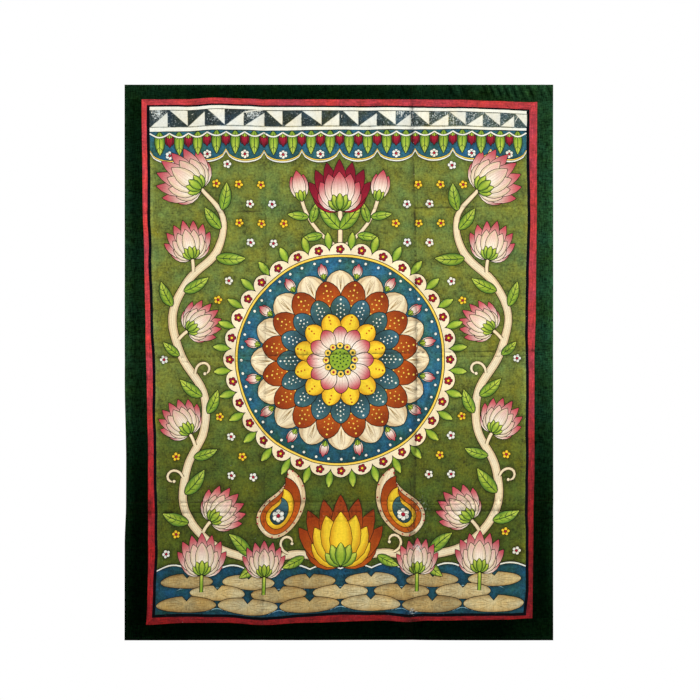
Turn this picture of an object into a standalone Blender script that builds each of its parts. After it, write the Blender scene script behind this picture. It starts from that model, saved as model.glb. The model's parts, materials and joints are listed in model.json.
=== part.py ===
"""A painted cotton wall hanging: one painted panel in a frame of four sewn green strips.

Metres, +Z up. The origin is the middle of the top edge, where the hanging is held. The cloth
hangs in the XZ plane, its painted face looks towards -Y, and "down" is measured from the top
edge. The cloth was once kept folded in three across and in four down, and still shows it.
"""

import math
from collections import namedtuple

import bmesh
import bpy

# The whole cloth, laid flat.
WIDTH = 1.080
HEIGHT = 1.400
THICKNESS = 0.0012
SEAM_GAP = 0.0003

# How the cloth is divided into faces.
STRIP_STEPS = 3
FOLD_STEPS = 12
SHORT_FOLD_STEPS = 10
PLEAT_STEPS = 2
CROSSING_PASSES = 6

# How far each seam lies in from the outer edge, from one end of the strip to the other.
# Top and bottom strips start at the left corner, side strips at the top corner.
Inset = namedtuple("Inset", "along inset")
TOP_SEAM = (
    Inset(along=0.000, inset=0.0370),
    Inset(along=0.155, inset=0.0365),
    Inset(along=0.225, inset=0.0325),
    Inset(along=0.305, inset=0.0350),
    Inset(along=0.360, inset=0.0370),
    Inset(along=0.710, inset=0.0370),
    Inset(along=0.840, inset=0.0380),
    Inset(along=0.935, inset=0.0410),
    Inset(along=1.020, inset=0.0440),
    Inset(along=1.080, inset=0.0410),
)
BOTTOM_SEAM = (
    Inset(along=0.000, inset=0.0380),
    Inset(along=0.055, inset=0.0390),
    Inset(along=0.155, inset=0.0440),
    Inset(along=0.255, inset=0.0440),
    Inset(along=0.348, inset=0.0380),
    Inset(along=0.455, inset=0.0440),
    Inset(along=0.655, inset=0.0490),
    Inset(along=0.716, inset=0.0450),
    Inset(along=0.760, inset=0.0490),
    Inset(along=0.960, inset=0.0520),
    Inset(along=1.025, inset=0.0555),
    Inset(along=1.080, inset=0.0570),
)
LEFT_SEAM = (
    Inset(along=0.000, inset=0.0425),
    Inset(along=0.290, inset=0.0450),
    Inset(along=0.450, inset=0.0495),
    Inset(along=0.620, inset=0.0525),
    Inset(along=0.820, inset=0.0565),
    Inset(along=0.920, inset=0.0590),
    Inset(along=1.200, inset=0.0595),
    Inset(along=1.300, inset=0.0575),
    Inset(along=1.400, inset=0.0525),
)
RIGHT_SEAM = (
    Inset(along=0.000, inset=0.0400),
    Inset(along=0.290, inset=0.0410),
    Inset(along=0.545, inset=0.0435),
    Inset(along=0.700, inset=0.0470),
    Inset(along=0.950, inset=0.0475),
    Inset(along=1.100, inset=0.0500),
    Inset(along=1.400, inset=0.0525),
)

# The left edge is drawn in a little beside the lower folds.
LEFT_EDGE = (
    Inset(along=0.000, inset=0.0000),
    Inset(along=0.750, inset=0.0000),
    Inset(along=0.950, inset=0.0035),
    Inset(along=1.050, inset=0.0035),
    Inset(along=1.160, inset=0.0003),
    Inset(along=1.400, inset=0.0000),
)

# Upright folds: places across the cloth, how far the line bows to the right between its ends,
# and how far it stands towards the viewer.
UprightFold = namedtuple("UprightFold", "x_top x_bottom bow rise reach")
UPRIGHT_FOLDS = (
    UprightFold(x_top=-0.185, x_bottom=-0.192, bow=0.004, rise=-0.0032, reach=0.030),
    UprightFold(x_top=0.184, x_bottom=0.185, bow=0.012, rise=-0.0046, reach=0.028),
)

# Level folds: a fold runs the other way in the middle third, as it does in cloth folded twice.
LevelFold = namedtuple("LevelFold", "down_left down_right rise_left rise_middle rise_right reach")
LEVEL_FOLDS = (
    LevelFold(0.327, 0.304, rise_left=0.0026, rise_middle=-0.0026, rise_right=0.0024, reach=0.030),
    LevelFold(0.696, 0.676, rise_left=-0.0034, rise_middle=0.0032, rise_right=-0.0036, reach=0.032),
    LevelFold(1.054, 1.048, rise_left=0.0030, rise_middle=-0.0032, rise_right=0.0030, reach=0.022),
    LevelFold(1.080, 1.073, rise_left=-0.0026, rise_middle=0.0022, rise_right=-0.0030, reach=0.022),
)
TURNOVER = 0.018

# Slow waves of cloth that hangs by its top edge.
Wave = namedtuple("Wave", "rise across down shift")
WAVES = (
    Wave(rise=0.0034, across=0.93, down=2.60, shift=0.15),
    Wave(rise=0.0019, across=0.41, down=1.70, shift=0.62),
    Wave(rise=0.0014, across=3.10, down=0.55, shift=0.30),
)
HELD_DEPTH = 0.16
HELD_FOLD_SHARE = 0.45

# The painted panel is the tone of its ground, the strips are bottle green.
PANEL_COLOUR = (0.150, 0.165, 0.060, 1.0)
STRIP_COLOUR = (0.010, 0.032, 0.016, 1.0)
CLOTH_ROUGHNESS = 0.85
SHARP_ANGLE = math.radians(40)

LEFT = -WIDTH / 2
RIGHT = WIDTH / 2


def eased(share):
    """0 to 1 with a flat start and end."""
    share = min(max(share, 0.0), 1.0)
    return share * share * (3 - 2 * share)


def inset_at(rows, along):
    """A seam's distance from the edge, eased from one row of its table to the next."""
    for here, after in zip(rows, rows[1:]):
        if along <= after.along:
            share = (along - here.along) / (after.along - here.along)
            return here.inset + (after.inset - here.inset) * eased(share)
    return rows[-1].inset


def upright_x(fold, down):
    share = down / HEIGHT
    return fold.x_top + (fold.x_bottom - fold.x_top) * share + fold.bow * math.sin(math.pi * share)


def level_down(fold, x):
    return fold.down_left + (fold.down_right - fold.down_left) * (x - LEFT) / WIDTH


def level_rise(fold, x, down):
    """The fold's rise, which turns over where it crosses an upright fold."""
    first, second = (
        eased((x - upright_x(upright, down)) / TURNOVER + 0.5) for upright in UPRIGHT_FOLDS
    )
    rise = fold.rise_left + (fold.rise_middle - fold.rise_left) * first
    return rise + (fold.rise_right - fold.rise_middle) * second


def shoulder(offset, reach):
    """An opened fold: a sharp line whose sides die away."""
    return math.exp(-abs(offset) / reach)


def relief(x, down):
    """How far the cloth stands towards the viewer from the plane it hangs in."""
    freedom = 1 - math.exp(-down / HELD_DEPTH)
    folds = sum(
        fold.rise * shoulder(x - upright_x(fold, down), fold.reach) for fold in UPRIGHT_FOLDS
    )
    folds += sum(
        level_rise(fold, x, down) * shoulder(down - level_down(fold, x), fold.reach)
        for fold in LEVEL_FOLDS
    )
    waves = sum(
        wave.rise * math.sin(2 * math.pi * (x / wave.across + down / wave.down + wave.shift))
        for wave in WAVES
    )
    return folds * (HELD_FOLD_SHARE + (1 - HELD_FOLD_SHARE) * freedom) + waves * freedom


def columns():
    """Lines that run down the cloth: each gives x at a distance down."""
    guides = (
        lambda down: LEFT + inset_at(LEFT_EDGE, down),
        lambda down: LEFT + inset_at(LEFT_SEAM, down),
        lambda down: upright_x(UPRIGHT_FOLDS[0], down),
        lambda down: upright_x(UPRIGHT_FOLDS[1], down),
        lambda down: RIGHT - inset_at(RIGHT_SEAM, down),
        lambda down: RIGHT,
    )
    steps = (STRIP_STEPS, FOLD_STEPS, FOLD_STEPS, FOLD_STEPS, STRIP_STEPS)
    return ruled(guides, steps)


def rows():
    """Lines that run across the cloth: each gives the distance down at an x."""
    guides = (
        lambda x: 0.0,
        lambda x: inset_at(TOP_SEAM, x - LEFT),
        *(lambda x, fold=fold: level_down(fold, x) for fold in LEVEL_FOLDS),
        lambda x: HEIGHT - inset_at(BOTTOM_SEAM, x - LEFT),
        lambda x: HEIGHT,
    )
    steps = (
        STRIP_STEPS,
        SHORT_FOLD_STEPS,
        FOLD_STEPS,
        FOLD_STEPS,
        PLEAT_STEPS,
        SHORT_FOLD_STEPS,
        STRIP_STEPS,
    )
    return ruled(guides, steps)


def ruled(guides, steps):
    """The guide lines with more between them, gathered near the folds and even in the strips."""
    lines = []
    for first, second, count in zip(guides, guides[1:], steps):
        for step in range(count):
            share = step / count
            if count != STRIP_STEPS:
                share = (1 - math.cos(math.pi * share)) / 2
            lines.append(lambda at, a=first, b=second, t=share: a(at) * (1 - t) + b(at) * t)
    lines.append(guides[-1])
    return lines


def crossing(column, row, shift_x, shift_down):
    """Where a column line meets a row line, each moved over by its share of the seam gap."""
    x, down = 0.0, HEIGHT / 2
    for _ in range(CROSSING_PASSES):
        x = column(down) + shift_x
        down = row(x) + shift_down
    return x, down


def seam_shift(line, first, last, outermost):
    """Half the seam gap inwards on a line that is a seam, and nothing on an outer edge."""
    if line == first and first > 0:
        return SEAM_GAP / 2
    if line == last and last < outermost:
        return -SEAM_GAP / 2
    return 0.0


def rim_of(columns_used, rows_used):
    """The grid places round a piece, in order."""
    (left, right), (top, bottom) = columns_used, rows_used
    rim = [(i, top) for i in range(left, right)]
    rim += [(right, j) for j in range(top, bottom)]
    rim += [(i, bottom) for i in range(right, left, -1)]
    rim += [(left, j) for j in range(bottom, top, -1)]
    return rim


def cloth_piece(name, colour, columns_used, rows_used):
    """The cloth between two column lines and two row lines, as one closed sheet."""
    column_lines = columns()
    row_lines = rows()
    sheet = bmesh.new()
    front, back = {}, {}
    for i in range(columns_used[0], columns_used[1] + 1):
        shift_x = seam_shift(i, *columns_used, len(column_lines) - 1)
        for j in range(rows_used[0], rows_used[1] + 1):
            shift_down = seam_shift(j, *rows_used, len(row_lines) - 1)
            x, down = crossing(column_lines[i], row_lines[j], shift_x, shift_down)
            y = -relief(x, down)
            front[i, j] = sheet.verts.new((x, y - THICKNESS / 2, -down))
            back[i, j] = sheet.verts.new((x, y + THICKNESS / 2, -down))
    for i in range(*columns_used):
        for j in range(*rows_used):
            ring = ((i, j), (i, j + 1), (i + 1, j + 1), (i + 1, j))
            sheet.faces.new([front[place] for place in ring])
            sheet.faces.new([back[place] for place in reversed(ring)])
    rim = rim_of(columns_used, rows_used)
    for here, after in zip(rim, rim[1:] + rim[:1]):
        sheet.faces.new((front[here], front[after], back[after], back[here]))
    bmesh.ops.triangulate(sheet, faces=sheet.faces)
    mesh = bpy.data.meshes.new(name)
    sheet.to_mesh(mesh)
    sheet.free()
    mesh.shade_smooth()
    mesh.set_sharp_from_angle(angle=SHARP_ANGLE)
    mesh.materials.append(cloth_material(name, colour))
    piece = bpy.data.objects.new(name, mesh)
    bpy.context.scene.collection.objects.link(piece)
    return piece


def cloth_material(name, colour):
    material = bpy.data.materials.new(f"{name}_cotton")
    material.use_nodes = True
    shader = material.node_tree.nodes["Principled BSDF"]
    shader.inputs["Base Color"].default_value = colour
    shader.inputs["Roughness"].default_value = CLOTH_ROUGHNESS
    shader.inputs["Metallic"].default_value = 0.0
    material.diffuse_color = colour
    return material


def main():
    for item in list(bpy.data.objects):
        bpy.data.objects.remove(item)
    right_edge = len(columns()) - 1
    bottom_edge = len(rows()) - 1
    whole = (0, right_edge)
    inside = (STRIP_STEPS, right_edge - STRIP_STEPS)
    between_strips = (STRIP_STEPS, bottom_edge - STRIP_STEPS)
    cloth_piece("painted_panel", PANEL_COLOUR, inside, between_strips)
    cloth_piece("border_top", STRIP_COLOUR, whole, (0, between_strips[0]))
    cloth_piece("border_bottom", STRIP_COLOUR, whole, (between_strips[1], bottom_edge))
    cloth_piece("border_left", STRIP_COLOUR, (0, inside[0]), between_strips)
    cloth_piece("border_right", STRIP_COLOUR, (inside[1], right_edge), between_strips)


main()
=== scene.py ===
"""Looks for a painted cotton wall hanging: its painted panel, four sewn strips and stitches."""

import json
import math
from collections import namedtuple

import bpy
import numpy as np
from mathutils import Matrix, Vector
from mathutils.geometry import delaunay_2d_cdt
from mathutils.kdtree import KDTree

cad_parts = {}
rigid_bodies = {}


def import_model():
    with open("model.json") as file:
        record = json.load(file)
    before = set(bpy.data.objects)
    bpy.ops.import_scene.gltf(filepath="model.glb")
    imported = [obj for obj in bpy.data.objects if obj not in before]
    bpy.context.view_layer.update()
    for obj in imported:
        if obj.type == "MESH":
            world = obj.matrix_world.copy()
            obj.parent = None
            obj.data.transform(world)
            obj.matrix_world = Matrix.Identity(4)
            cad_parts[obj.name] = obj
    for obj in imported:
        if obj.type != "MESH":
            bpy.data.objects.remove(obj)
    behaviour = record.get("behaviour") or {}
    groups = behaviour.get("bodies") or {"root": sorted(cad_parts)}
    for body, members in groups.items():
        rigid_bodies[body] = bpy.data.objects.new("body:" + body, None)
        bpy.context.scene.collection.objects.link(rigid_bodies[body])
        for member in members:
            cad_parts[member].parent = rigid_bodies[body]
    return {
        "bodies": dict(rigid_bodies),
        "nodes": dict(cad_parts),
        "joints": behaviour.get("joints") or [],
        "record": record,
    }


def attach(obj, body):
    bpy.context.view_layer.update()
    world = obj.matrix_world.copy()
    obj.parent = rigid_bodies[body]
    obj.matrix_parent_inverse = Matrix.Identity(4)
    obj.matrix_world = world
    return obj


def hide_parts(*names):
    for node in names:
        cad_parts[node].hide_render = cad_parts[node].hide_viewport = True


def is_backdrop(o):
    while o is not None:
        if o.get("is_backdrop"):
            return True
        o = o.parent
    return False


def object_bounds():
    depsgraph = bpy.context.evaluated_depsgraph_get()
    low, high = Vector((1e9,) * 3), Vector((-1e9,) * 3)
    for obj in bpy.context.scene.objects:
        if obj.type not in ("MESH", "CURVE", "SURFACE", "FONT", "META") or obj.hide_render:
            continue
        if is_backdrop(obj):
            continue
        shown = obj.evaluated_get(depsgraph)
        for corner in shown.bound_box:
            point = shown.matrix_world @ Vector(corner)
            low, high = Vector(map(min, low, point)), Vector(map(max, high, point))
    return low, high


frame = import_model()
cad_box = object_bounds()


def records(kind, *table):
    """A table whose rows have named fields."""
    return tuple(kind(*row) for row in table)


# The cloth: the same sizes and folds as the solids, in metres. The insets of the seams and of the
# left edge are measured in from the outer edges, at places along them.
WIDTH = 1.080
HEIGHT = 1.400
THICKNESS = 0.0012
SEAM_GAP = 0.0003
LEFT = -WIDTH / 2
RIGHT = WIDTH / 2

Inset = namedtuple("Inset", "along inset")
TOP_SEAM = records(
    Inset,
    (0.000, 0.0370), (0.155, 0.0365), (0.225, 0.0325), (0.305, 0.0350), (0.360, 0.0370),
    (0.710, 0.0370), (0.840, 0.0380), (0.935, 0.0410), (1.020, 0.0440), (1.080, 0.0410),
)
BOTTOM_SEAM = records(
    Inset,
    (0.000, 0.0380), (0.055, 0.0390), (0.155, 0.0440), (0.255, 0.0440), (0.348, 0.0380),
    (0.455, 0.0440), (0.655, 0.0490), (0.716, 0.0450), (0.760, 0.0490), (0.960, 0.0520),
    (1.025, 0.0555), (1.080, 0.0570),
)
LEFT_SEAM = records(
    Inset,
    (0.000, 0.0425), (0.290, 0.0450), (0.450, 0.0495), (0.620, 0.0525), (0.820, 0.0565),
    (0.920, 0.0590), (1.200, 0.0595), (1.300, 0.0575), (1.400, 0.0525),
)
RIGHT_SEAM = records(
    Inset,
    (0.000, 0.0400), (0.290, 0.0410), (0.545, 0.0435), (0.700, 0.0470), (0.950, 0.0475),
    (1.100, 0.0500), (1.400, 0.0525),
)
LEFT_EDGE = records(
    Inset,
    (0.000, 0.0000), (0.750, 0.0000), (0.950, 0.0035), (1.050, 0.0035), (1.160, 0.0003),
    (1.400, 0.0000),
)

# The storage folds. A level one turns over where it crosses an upright one.
UprightFold = namedtuple("UprightFold", "x_top x_bottom bow rise reach")
UPRIGHT_FOLDS = (
    UprightFold(x_top=-0.185, x_bottom=-0.192, bow=0.004, rise=-0.0032, reach=0.030),
    UprightFold(x_top=0.184, x_bottom=0.185, bow=0.012, rise=-0.0046, reach=0.028),
)
LevelFold = namedtuple("LevelFold", "down_left down_right rise_left rise_middle rise_right reach")
LEVEL_FOLDS = (
    LevelFold(0.327, 0.304, rise_left=0.0026, rise_middle=-0.0026, rise_right=0.0024, reach=0.030),
    LevelFold(0.696, 0.676, rise_left=-0.0034, rise_middle=0.0032, rise_right=-0.0036, reach=0.032),
    LevelFold(1.054, 1.048, rise_left=0.0030, rise_middle=-0.0032, rise_right=0.0030, reach=0.022),
    LevelFold(1.080, 1.073, rise_left=-0.0026, rise_middle=0.0022, rise_right=-0.0030, reach=0.022),
)
TURNOVER = 0.018
# Broad waves, which die out towards the top edge, where the cloth is held.
Wave = namedtuple("Wave", "rise across down shift")
WAVES = (
    Wave(rise=0.0034, across=0.93, down=2.60, shift=0.15),
    Wave(rise=0.0019, across=0.41, down=1.70, shift=0.62),
    Wave(rise=0.0014, across=3.10, down=0.55, shift=0.30),
)
HELD_DEPTH = 0.16
HELD_FOLD_SHARE = 0.45

# The panel's painting is laid out on a flat sheet of this size: p runs across from its middle
# and q down from its top edge.
SHEET_W = 0.984
SHEET_H = 1.314


def eased(share):
    """0 to 1 with a flat start and end."""
    share = np.clip(share, 0.0, 1.0)
    return share * share * (3 - 2 * share)


def inset_at(table, along):
    """A seam's distance from the edge, eased from one row of its table to the next."""
    at, inset = np.array(table).T
    k = np.clip(np.searchsorted(at, along, side="right") - 1, 0, len(at) - 2)
    return inset[k] + (inset[k + 1] - inset[k]) * eased((along - at[k]) / (at[k + 1] - at[k]))


def left_seam(down):
    return LEFT + inset_at(LEFT_SEAM, down)


def right_seam(down):
    return RIGHT - inset_at(RIGHT_SEAM, down)


def top_seam(x):
    return inset_at(TOP_SEAM, x - LEFT)


def bottom_seam(x):
    return HEIGHT - inset_at(BOTTOM_SEAM, x - LEFT)


def on_cloth(flat):
    """Places of the flat painting as x and down on the cloth, between its four seams."""
    across = flat[:, 0] / SHEET_W + 0.5
    below = flat[:, 1] / SHEET_H
    x = flat[:, 0].copy()
    down = flat[:, 1].copy()
    for _ in range(5):
        down = top_seam(x) * (1 - below) + bottom_seam(x) * below
        x = left_seam(down) * (1 - across) + right_seam(down) * across
    return x, down


def on_sheet(x, down):
    """The other way round: x and down on the cloth as a place of the flat painting."""
    across = (x - left_seam(down)) / (right_seam(down) - left_seam(down))
    below = (down - top_seam(x)) / (bottom_seam(x) - top_seam(x))
    return np.column_stack(((across - 0.5) * SHEET_W, below * SHEET_H))


class Unevenness:
    """Smooth uneven values between -1 and 1, from a seeded lattice."""

    SIDE = 64

    def __init__(self, seed, cell):
        self.values = np.random.default_rng(seed).uniform(-1, 1, (self.SIDE, self.SIDE))
        self.cell = cell

    def __call__(self, x, y):
        u = np.asarray(x) / self.cell + self.SIDE
        v = np.asarray(y) / self.cell + self.SIDE
        i = np.floor(u).astype(int)
        j = np.floor(v).astype(int)
        a = eased(u - i)
        b = eased(v - j)
        i %= self.SIDE
        j %= self.SIDE
        k = (i + 1) % self.SIDE
        m = (j + 1) % self.SIDE
        first = self.values[i, j] * (1 - a) + self.values[k, j] * a
        second = self.values[i, m] * (1 - a) + self.values[k, m] * a
        return first * (1 - b) + second * b


cockle = Unevenness(seed=11, cell=0.045)
fine_cockle = Unevenness(seed=12, cell=0.014)
crumple = Unevenness(seed=13, cell=0.009)
line_break = Unevenness(seed=14, cell=0.020)


def upright_x(fold, down):
    share = down / HEIGHT
    return fold.x_top + (fold.x_bottom - fold.x_top) * share + fold.bow * np.sin(np.pi * share)


def level_down(fold, x):
    return fold.down_left + (fold.down_right - fold.down_left) * (x - LEFT) / WIDTH


def level_rise(fold, x, down):
    """The fold's rise, which turns over where it crosses an upright fold."""
    first, second = (
        eased((x - upright_x(upright, down)) / TURNOVER + 0.5) for upright in UPRIGHT_FOLDS
    )
    rise = fold.rise_left + (fold.rise_middle - fold.rise_left) * first
    return rise + (fold.rise_right - fold.rise_middle) * second


def bell(offset, reach):
    return np.exp(-((offset / reach) ** 2))


def main_relief(x, down):
    """How far the cloth stands towards the viewer: the form that the solids have."""
    freedom = 1 - np.exp(-down / HELD_DEPTH)
    folds = sum(
        fold.rise * np.exp(-abs(x - upright_x(fold, down)) / fold.reach) for fold in UPRIGHT_FOLDS
    )
    folds = folds + sum(
        level_rise(fold, x, down) * np.exp(-abs(down - level_down(fold, x)) / fold.reach)
        for fold in LEVEL_FOLDS
    )
    waves = sum(
        wave.rise * np.sin(2 * np.pi * (x / wave.across + down / wave.down + wave.shift))
        for wave in WAVES
    )
    return folds * (HELD_FOLD_SHARE + (1 - HELD_FOLD_SHARE) * freedom) + waves * freedom


# Press lines: thin creases that lie along a fold, or beside it. Each has a dark line of dirt and painted
# shade on one side and a painted highlight on the other, and from some a band of painted shade spreads on
# the side away from the light.
PressLine = namedtuple("PressLine", "fold offset depth soil stain", defaults=(0.0,))
UPRIGHT_LINES = (
    PressLine(fold=0, offset=0.000, depth=0.00045, soil=0.50, stain=0.22),
    PressLine(fold=1, offset=0.000, depth=0.00070, soil=0.75, stain=0.50),
    PressLine(fold=1, offset=0.011, depth=0.00025, soil=0.25),
)
LEVEL_LINES = (
    PressLine(fold=0, offset=0.000, depth=0.00050, soil=0.74, stain=0.22),
    PressLine(fold=1, offset=-0.006, depth=0.00060, soil=0.95, stain=0.30),
    PressLine(fold=1, offset=0.006, depth=0.00050, soil=0.80),
    PressLine(fold=2, offset=0.000, depth=0.00065, soil=1.05, stain=0.28),
    PressLine(fold=2, offset=0.009, depth=0.00032, soil=0.55),
    PressLine(fold=3, offset=0.000, depth=0.00065, soil=1.05, stain=0.28),
    PressLine(fold=3, offset=0.013, depth=0.00036, soil=0.60),
    PressLine(fold=3, offset=0.024, depth=0.00026, soil=0.42),
)
LINE_WIDTH = 0.0013
TROUGH_WIDTH = LINE_WIDTH * 1.3
# The painted shade beside a crease, on its side away from the light: how far it spreads, and from where
# down the cloth and over what length it grows wider and stronger.
LEE_SHADE_WIDTH = 0.0140
LEE_SHADE_GROWS = 0.70
LEE_SHADE_GROWTH = 0.40
# The most that dirt and painted shade darken the colour.
MOST_SOIL_AND_SHADE = 0.85
COCKLE_RISE = 0.00045
FINE_COCKLE_RISE = 0.00012
# How far to one side of a crease its dark line of dirt and painted shade lies, and how far to the other
# side its painted highlight.
DARK_SIDE = -0.0005
PALE_SIDE = 0.0018

# Short creases, as runs of places across and down the cloth: the corner of something once laid on the
# folded cloth, and the wrinkles where the lower folds cross the right one. Each has a dark line of dirt and
# painted shade and a painted highlight beside it, as the press lines do.
Crease = namedtuple("Crease", "depth soil places")
SHORT_CREASES = records(
    Crease,
    (0.00035, 0.55, ((0.1993, 0.256), (0.1990, 0.290), (0.1996, 0.314), (0.236, 0.3135), (0.280, 0.311))),
    (0.00020, 0.60, ((0.1735, 0.290), (0.1745, 0.302))),
    (0.00060, 0.80, ((0.1880, 1.0456), (0.1981, 1.0557), (0.1905, 1.0658), (0.2082, 1.0784))),
    (0.00045, 0.65, ((0.1452, 1.0608), (0.1640, 1.0690), (0.1855, 1.0860))),
    (0.00045, 0.60, ((0.1477, 1.0860), (0.1700, 1.1130), (0.1905, 1.1490))),
    (0.00045, 0.70, ((0.1815, 0.998), (0.1835, 1.060), (0.1822, 1.136))),
    (0.00035, 0.55, ((0.1915, 1.015), (0.1890, 1.070), (0.1900, 1.120))),
    (0.00030, 0.45, ((0.2060, 1.0560), (0.2300, 1.0640), (0.2620, 1.0600))),
)

# Crumpled spots beside the right fold.
Spot = namedtuple("Spot", "x down reach rise rub long", defaults=(1.0,))
CRUMPLES = records(
    Spot,
    (0.206, 1.062, 0.030, 0.0013, 0.30), (0.196, 1.115, 0.034, 0.0011, 0.22),
    (0.190, 0.690, 0.022, 0.0006, 0.12), (-0.187, 1.066, 0.022, 0.0006, 0.12),
    (0.214, 0.300, 0.018, 0.0005, 0.10), (0.519, 0.029, 0.013, 0.0010, 0.00),
)
# Places where the paint is rubbed pale. Some are several times longer across than they are high.
RUBS = records(
    Spot,
    (0.200, 1.168, 0.014, 0.0, 0.60), (0.184, 1.327, 0.010, 0.0, 0.55),
    (-0.214, 0.0760, 0.0120, 0.0, 0.40, 2.0), (-0.455, 0.072, 0.017, 0.0, 0.45),
    (-0.310, 0.079, 0.010, 0.0, 0.35), (0.158, 0.068, 0.012, 0.0, 0.45),
    (0.300, 0.082, 0.030, 0.0, 0.22, 5.0), (0.260, 0.545, 0.006, 0.0, 0.40),
)


def press_lines(x, down):
    """Every press line as (its distance, its row), broken up so that no line runs evenly."""
    for line in UPRIGHT_LINES:
        yield x - upright_x(UPRIGHT_FOLDS[line.fold], down) - line.offset, line
    for line in LEVEL_LINES:
        yield down - level_down(LEVEL_FOLDS[line.fold], x) - line.offset, line


def crease_distance(x, down, crease):
    """How far each place lies from a short crease."""
    nearest = np.full_like(x, 1.0)
    for (x1, down1), (x2, down2) in zip(crease.places, crease.places[1:]):
        run = np.array((x2 - x1, down2 - down1))
        share = np.clip(((x - x1) * run[0] + (down - down1) * run[1]) / (run @ run), 0, 1)
        nearest = np.minimum(nearest, np.hypot(x - x1 - share * run[0], down - down1 - share * run[1]))
    return nearest


def fine_relief(x, down):
    """Press lines, cockling and crumples: finer than the solids hold."""
    rise = COCKLE_RISE * cockle(x, down) + FINE_COCKLE_RISE * fine_cockle(x, down)
    for offset, line in press_lines(x, down):
        firm = 0.75 + 0.45 * line_break(x + line.offset * 40, down)
        rise = rise - line.depth * firm * bell(offset, TROUGH_WIDTH)
    for crease in SHORT_CREASES:
        rise = rise - crease.depth * bell(crease_distance(x, down, crease), TROUGH_WIDTH)
    for spot in CRUMPLES:
        near = bell(np.hypot(x - spot.x, down - spot.down), spot.reach)
        ridges = 1 - 2 * abs(crumple(x * 1.6 + down * 0.5, down))
        rise = rise + spot.rise * near * ridges
    return rise


def crease_marks(x, down, side):
    """How strong the painted line is that lies to one side of each crease: dirt with painted shade on one
    side, a painted highlight on the other.
    """
    most = np.zeros_like(x)
    for offset, line in press_lines(x, down):
        firm = np.clip(0.8 + 0.7 * line_break(x + line.soil, down + line.offset * 30), 0.1, 1.2)
        most = np.maximum(most, line.soil * firm * bell(offset - side, LINE_WIDTH))
    for crease in SHORT_CREASES:
        firm = np.clip(0.9 + 0.5 * line_break(x * 2, down * 2 + crease.soil), 0.2, 1.2)
        near = bell(crease_distance(x - side, down, crease), LINE_WIDTH)
        most = np.maximum(most, crease.soil * firm * near)
    return most


def lee_shading(x, down):
    """Painted shade above a level crease or to the left of an upright one, on the side away from the light,
    which stops at its line. That of the upright ones is wider and stronger lower down."""
    most = np.zeros_like(x)
    for offset, line in press_lines(x, down):
        firm = np.clip(0.9 + 0.6 * line_break(x + line.stain, down), 0.2, 1.3)
        low = eased((down - LEE_SHADE_GROWS) / LEE_SHADE_GROWTH) if line in UPRIGHT_LINES else 0.0
        spread = eased(1 + offset / (LEE_SHADE_WIDTH * (1 + low)))
        beside = np.where(offset < 0, spread, bell(offset, LINE_WIDTH))
        most = np.maximum(most, line.stain * firm * beside * (1 + 0.25 * low))
    return most


def wear_and_shade(x, down):
    """Dirt with painted shade, the painted highlight lines beside creases, and rubbed paint."""
    soil = np.clip(crease_marks(x, down, DARK_SIDE) + lee_shading(x, down), 0, MOST_SOIL_AND_SHADE)
    pale = crease_marks(x, down, PALE_SIDE)
    rub = np.zeros_like(x)
    for spot in RUBS + CRUMPLES:
        near = bell(np.hypot((x - spot.x) / spot.long, down - spot.down), spot.reach)
        rub = np.maximum(rub, spot.rub * near)
    return np.column_stack((soil, pale, rub))


SEAM_DIP = 0.00050
SEAM_DIP_REACH = 0.0022
SLOPE_STEP = 0.0004


def seam_dip(distance):
    """Both cloths sink towards the seam that joins them."""
    return -SEAM_DIP * bell(distance, SEAM_DIP_REACH)


def relief(x, down):
    return main_relief(x, down) + fine_relief(x, down)


def unit(vectors):
    """The vectors' directions, each with a length of 1."""
    return vectors / np.maximum(np.linalg.norm(vectors, axis=-1, keepdims=True), 1e-9)


def normals(form, x, down):
    """Unit normals of the face that looks to -Y, from the slopes of the form."""
    slope_x = (form(x + SLOPE_STEP, down) - form(x - SLOPE_STEP, down)) / (2 * SLOPE_STEP)
    slope_down = (form(x, down + SLOPE_STEP) - form(x, down - SLOPE_STEP)) / (2 * SLOPE_STEP)
    return unit(np.column_stack((-slope_x, -np.ones_like(x), slope_down)))


# Curves for the brush. A turn of 0 points up the cloth, and turns go clockwise. The point of a
# corner sharper than this is moved straight ahead when its outline swells.
SHARP_CORNER = 0.3


def heading(turn):
    return np.array((math.sin(turn), -math.cos(turn)))


def spline(points, per_span):
    """A smooth curve through the points."""
    points = np.asarray(points, float)
    ends = np.vstack((2 * points[0] - points[1], points, 2 * points[-1] - points[-2]))
    t = np.linspace(0, 1, per_span, endpoint=False)[:, None]
    spans = []
    for a, b, c, d in zip(ends, ends[1:], ends[2:], ends[3:]):
        square = 2 * a - 5 * b + 4 * c - d
        cube = 3 * b - a - 3 * c + d
        spans.append(0.5 * (2 * b + (c - a) * t + square * t**2 + cube * t**3))
    return np.vstack((*spans, points[-1:]))


def swept(at, turn, length, bend=0.0, steps=10, tighten=1.0):
    """A line that starts at a place and a turn, and bends more and more as it goes. Its points
    gather towards both ends, where petals and strokes are roundest."""
    share = (1 - np.cos(np.pi * np.arange(steps + 1) / steps)) / 2
    turns = turn + bend * ((share[1:] + share[:-1]) / 2) ** tighten
    moves = np.column_stack((np.sin(turns), -np.cos(turns))) * np.diff(share)[:, None] * length
    return np.vstack((at, np.asarray(at) + np.cumsum(moves, axis=0)))


def distances_along(line):
    """How far along a line each of its points lies, in metres."""
    return np.concatenate(([0], np.cumsum(np.linalg.norm(np.diff(line, axis=0), axis=1))))


def shares_of(axis):
    """How far along a line each of its points lies, from 0 to 1."""
    far = distances_along(axis)
    return far / far[-1]


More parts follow.
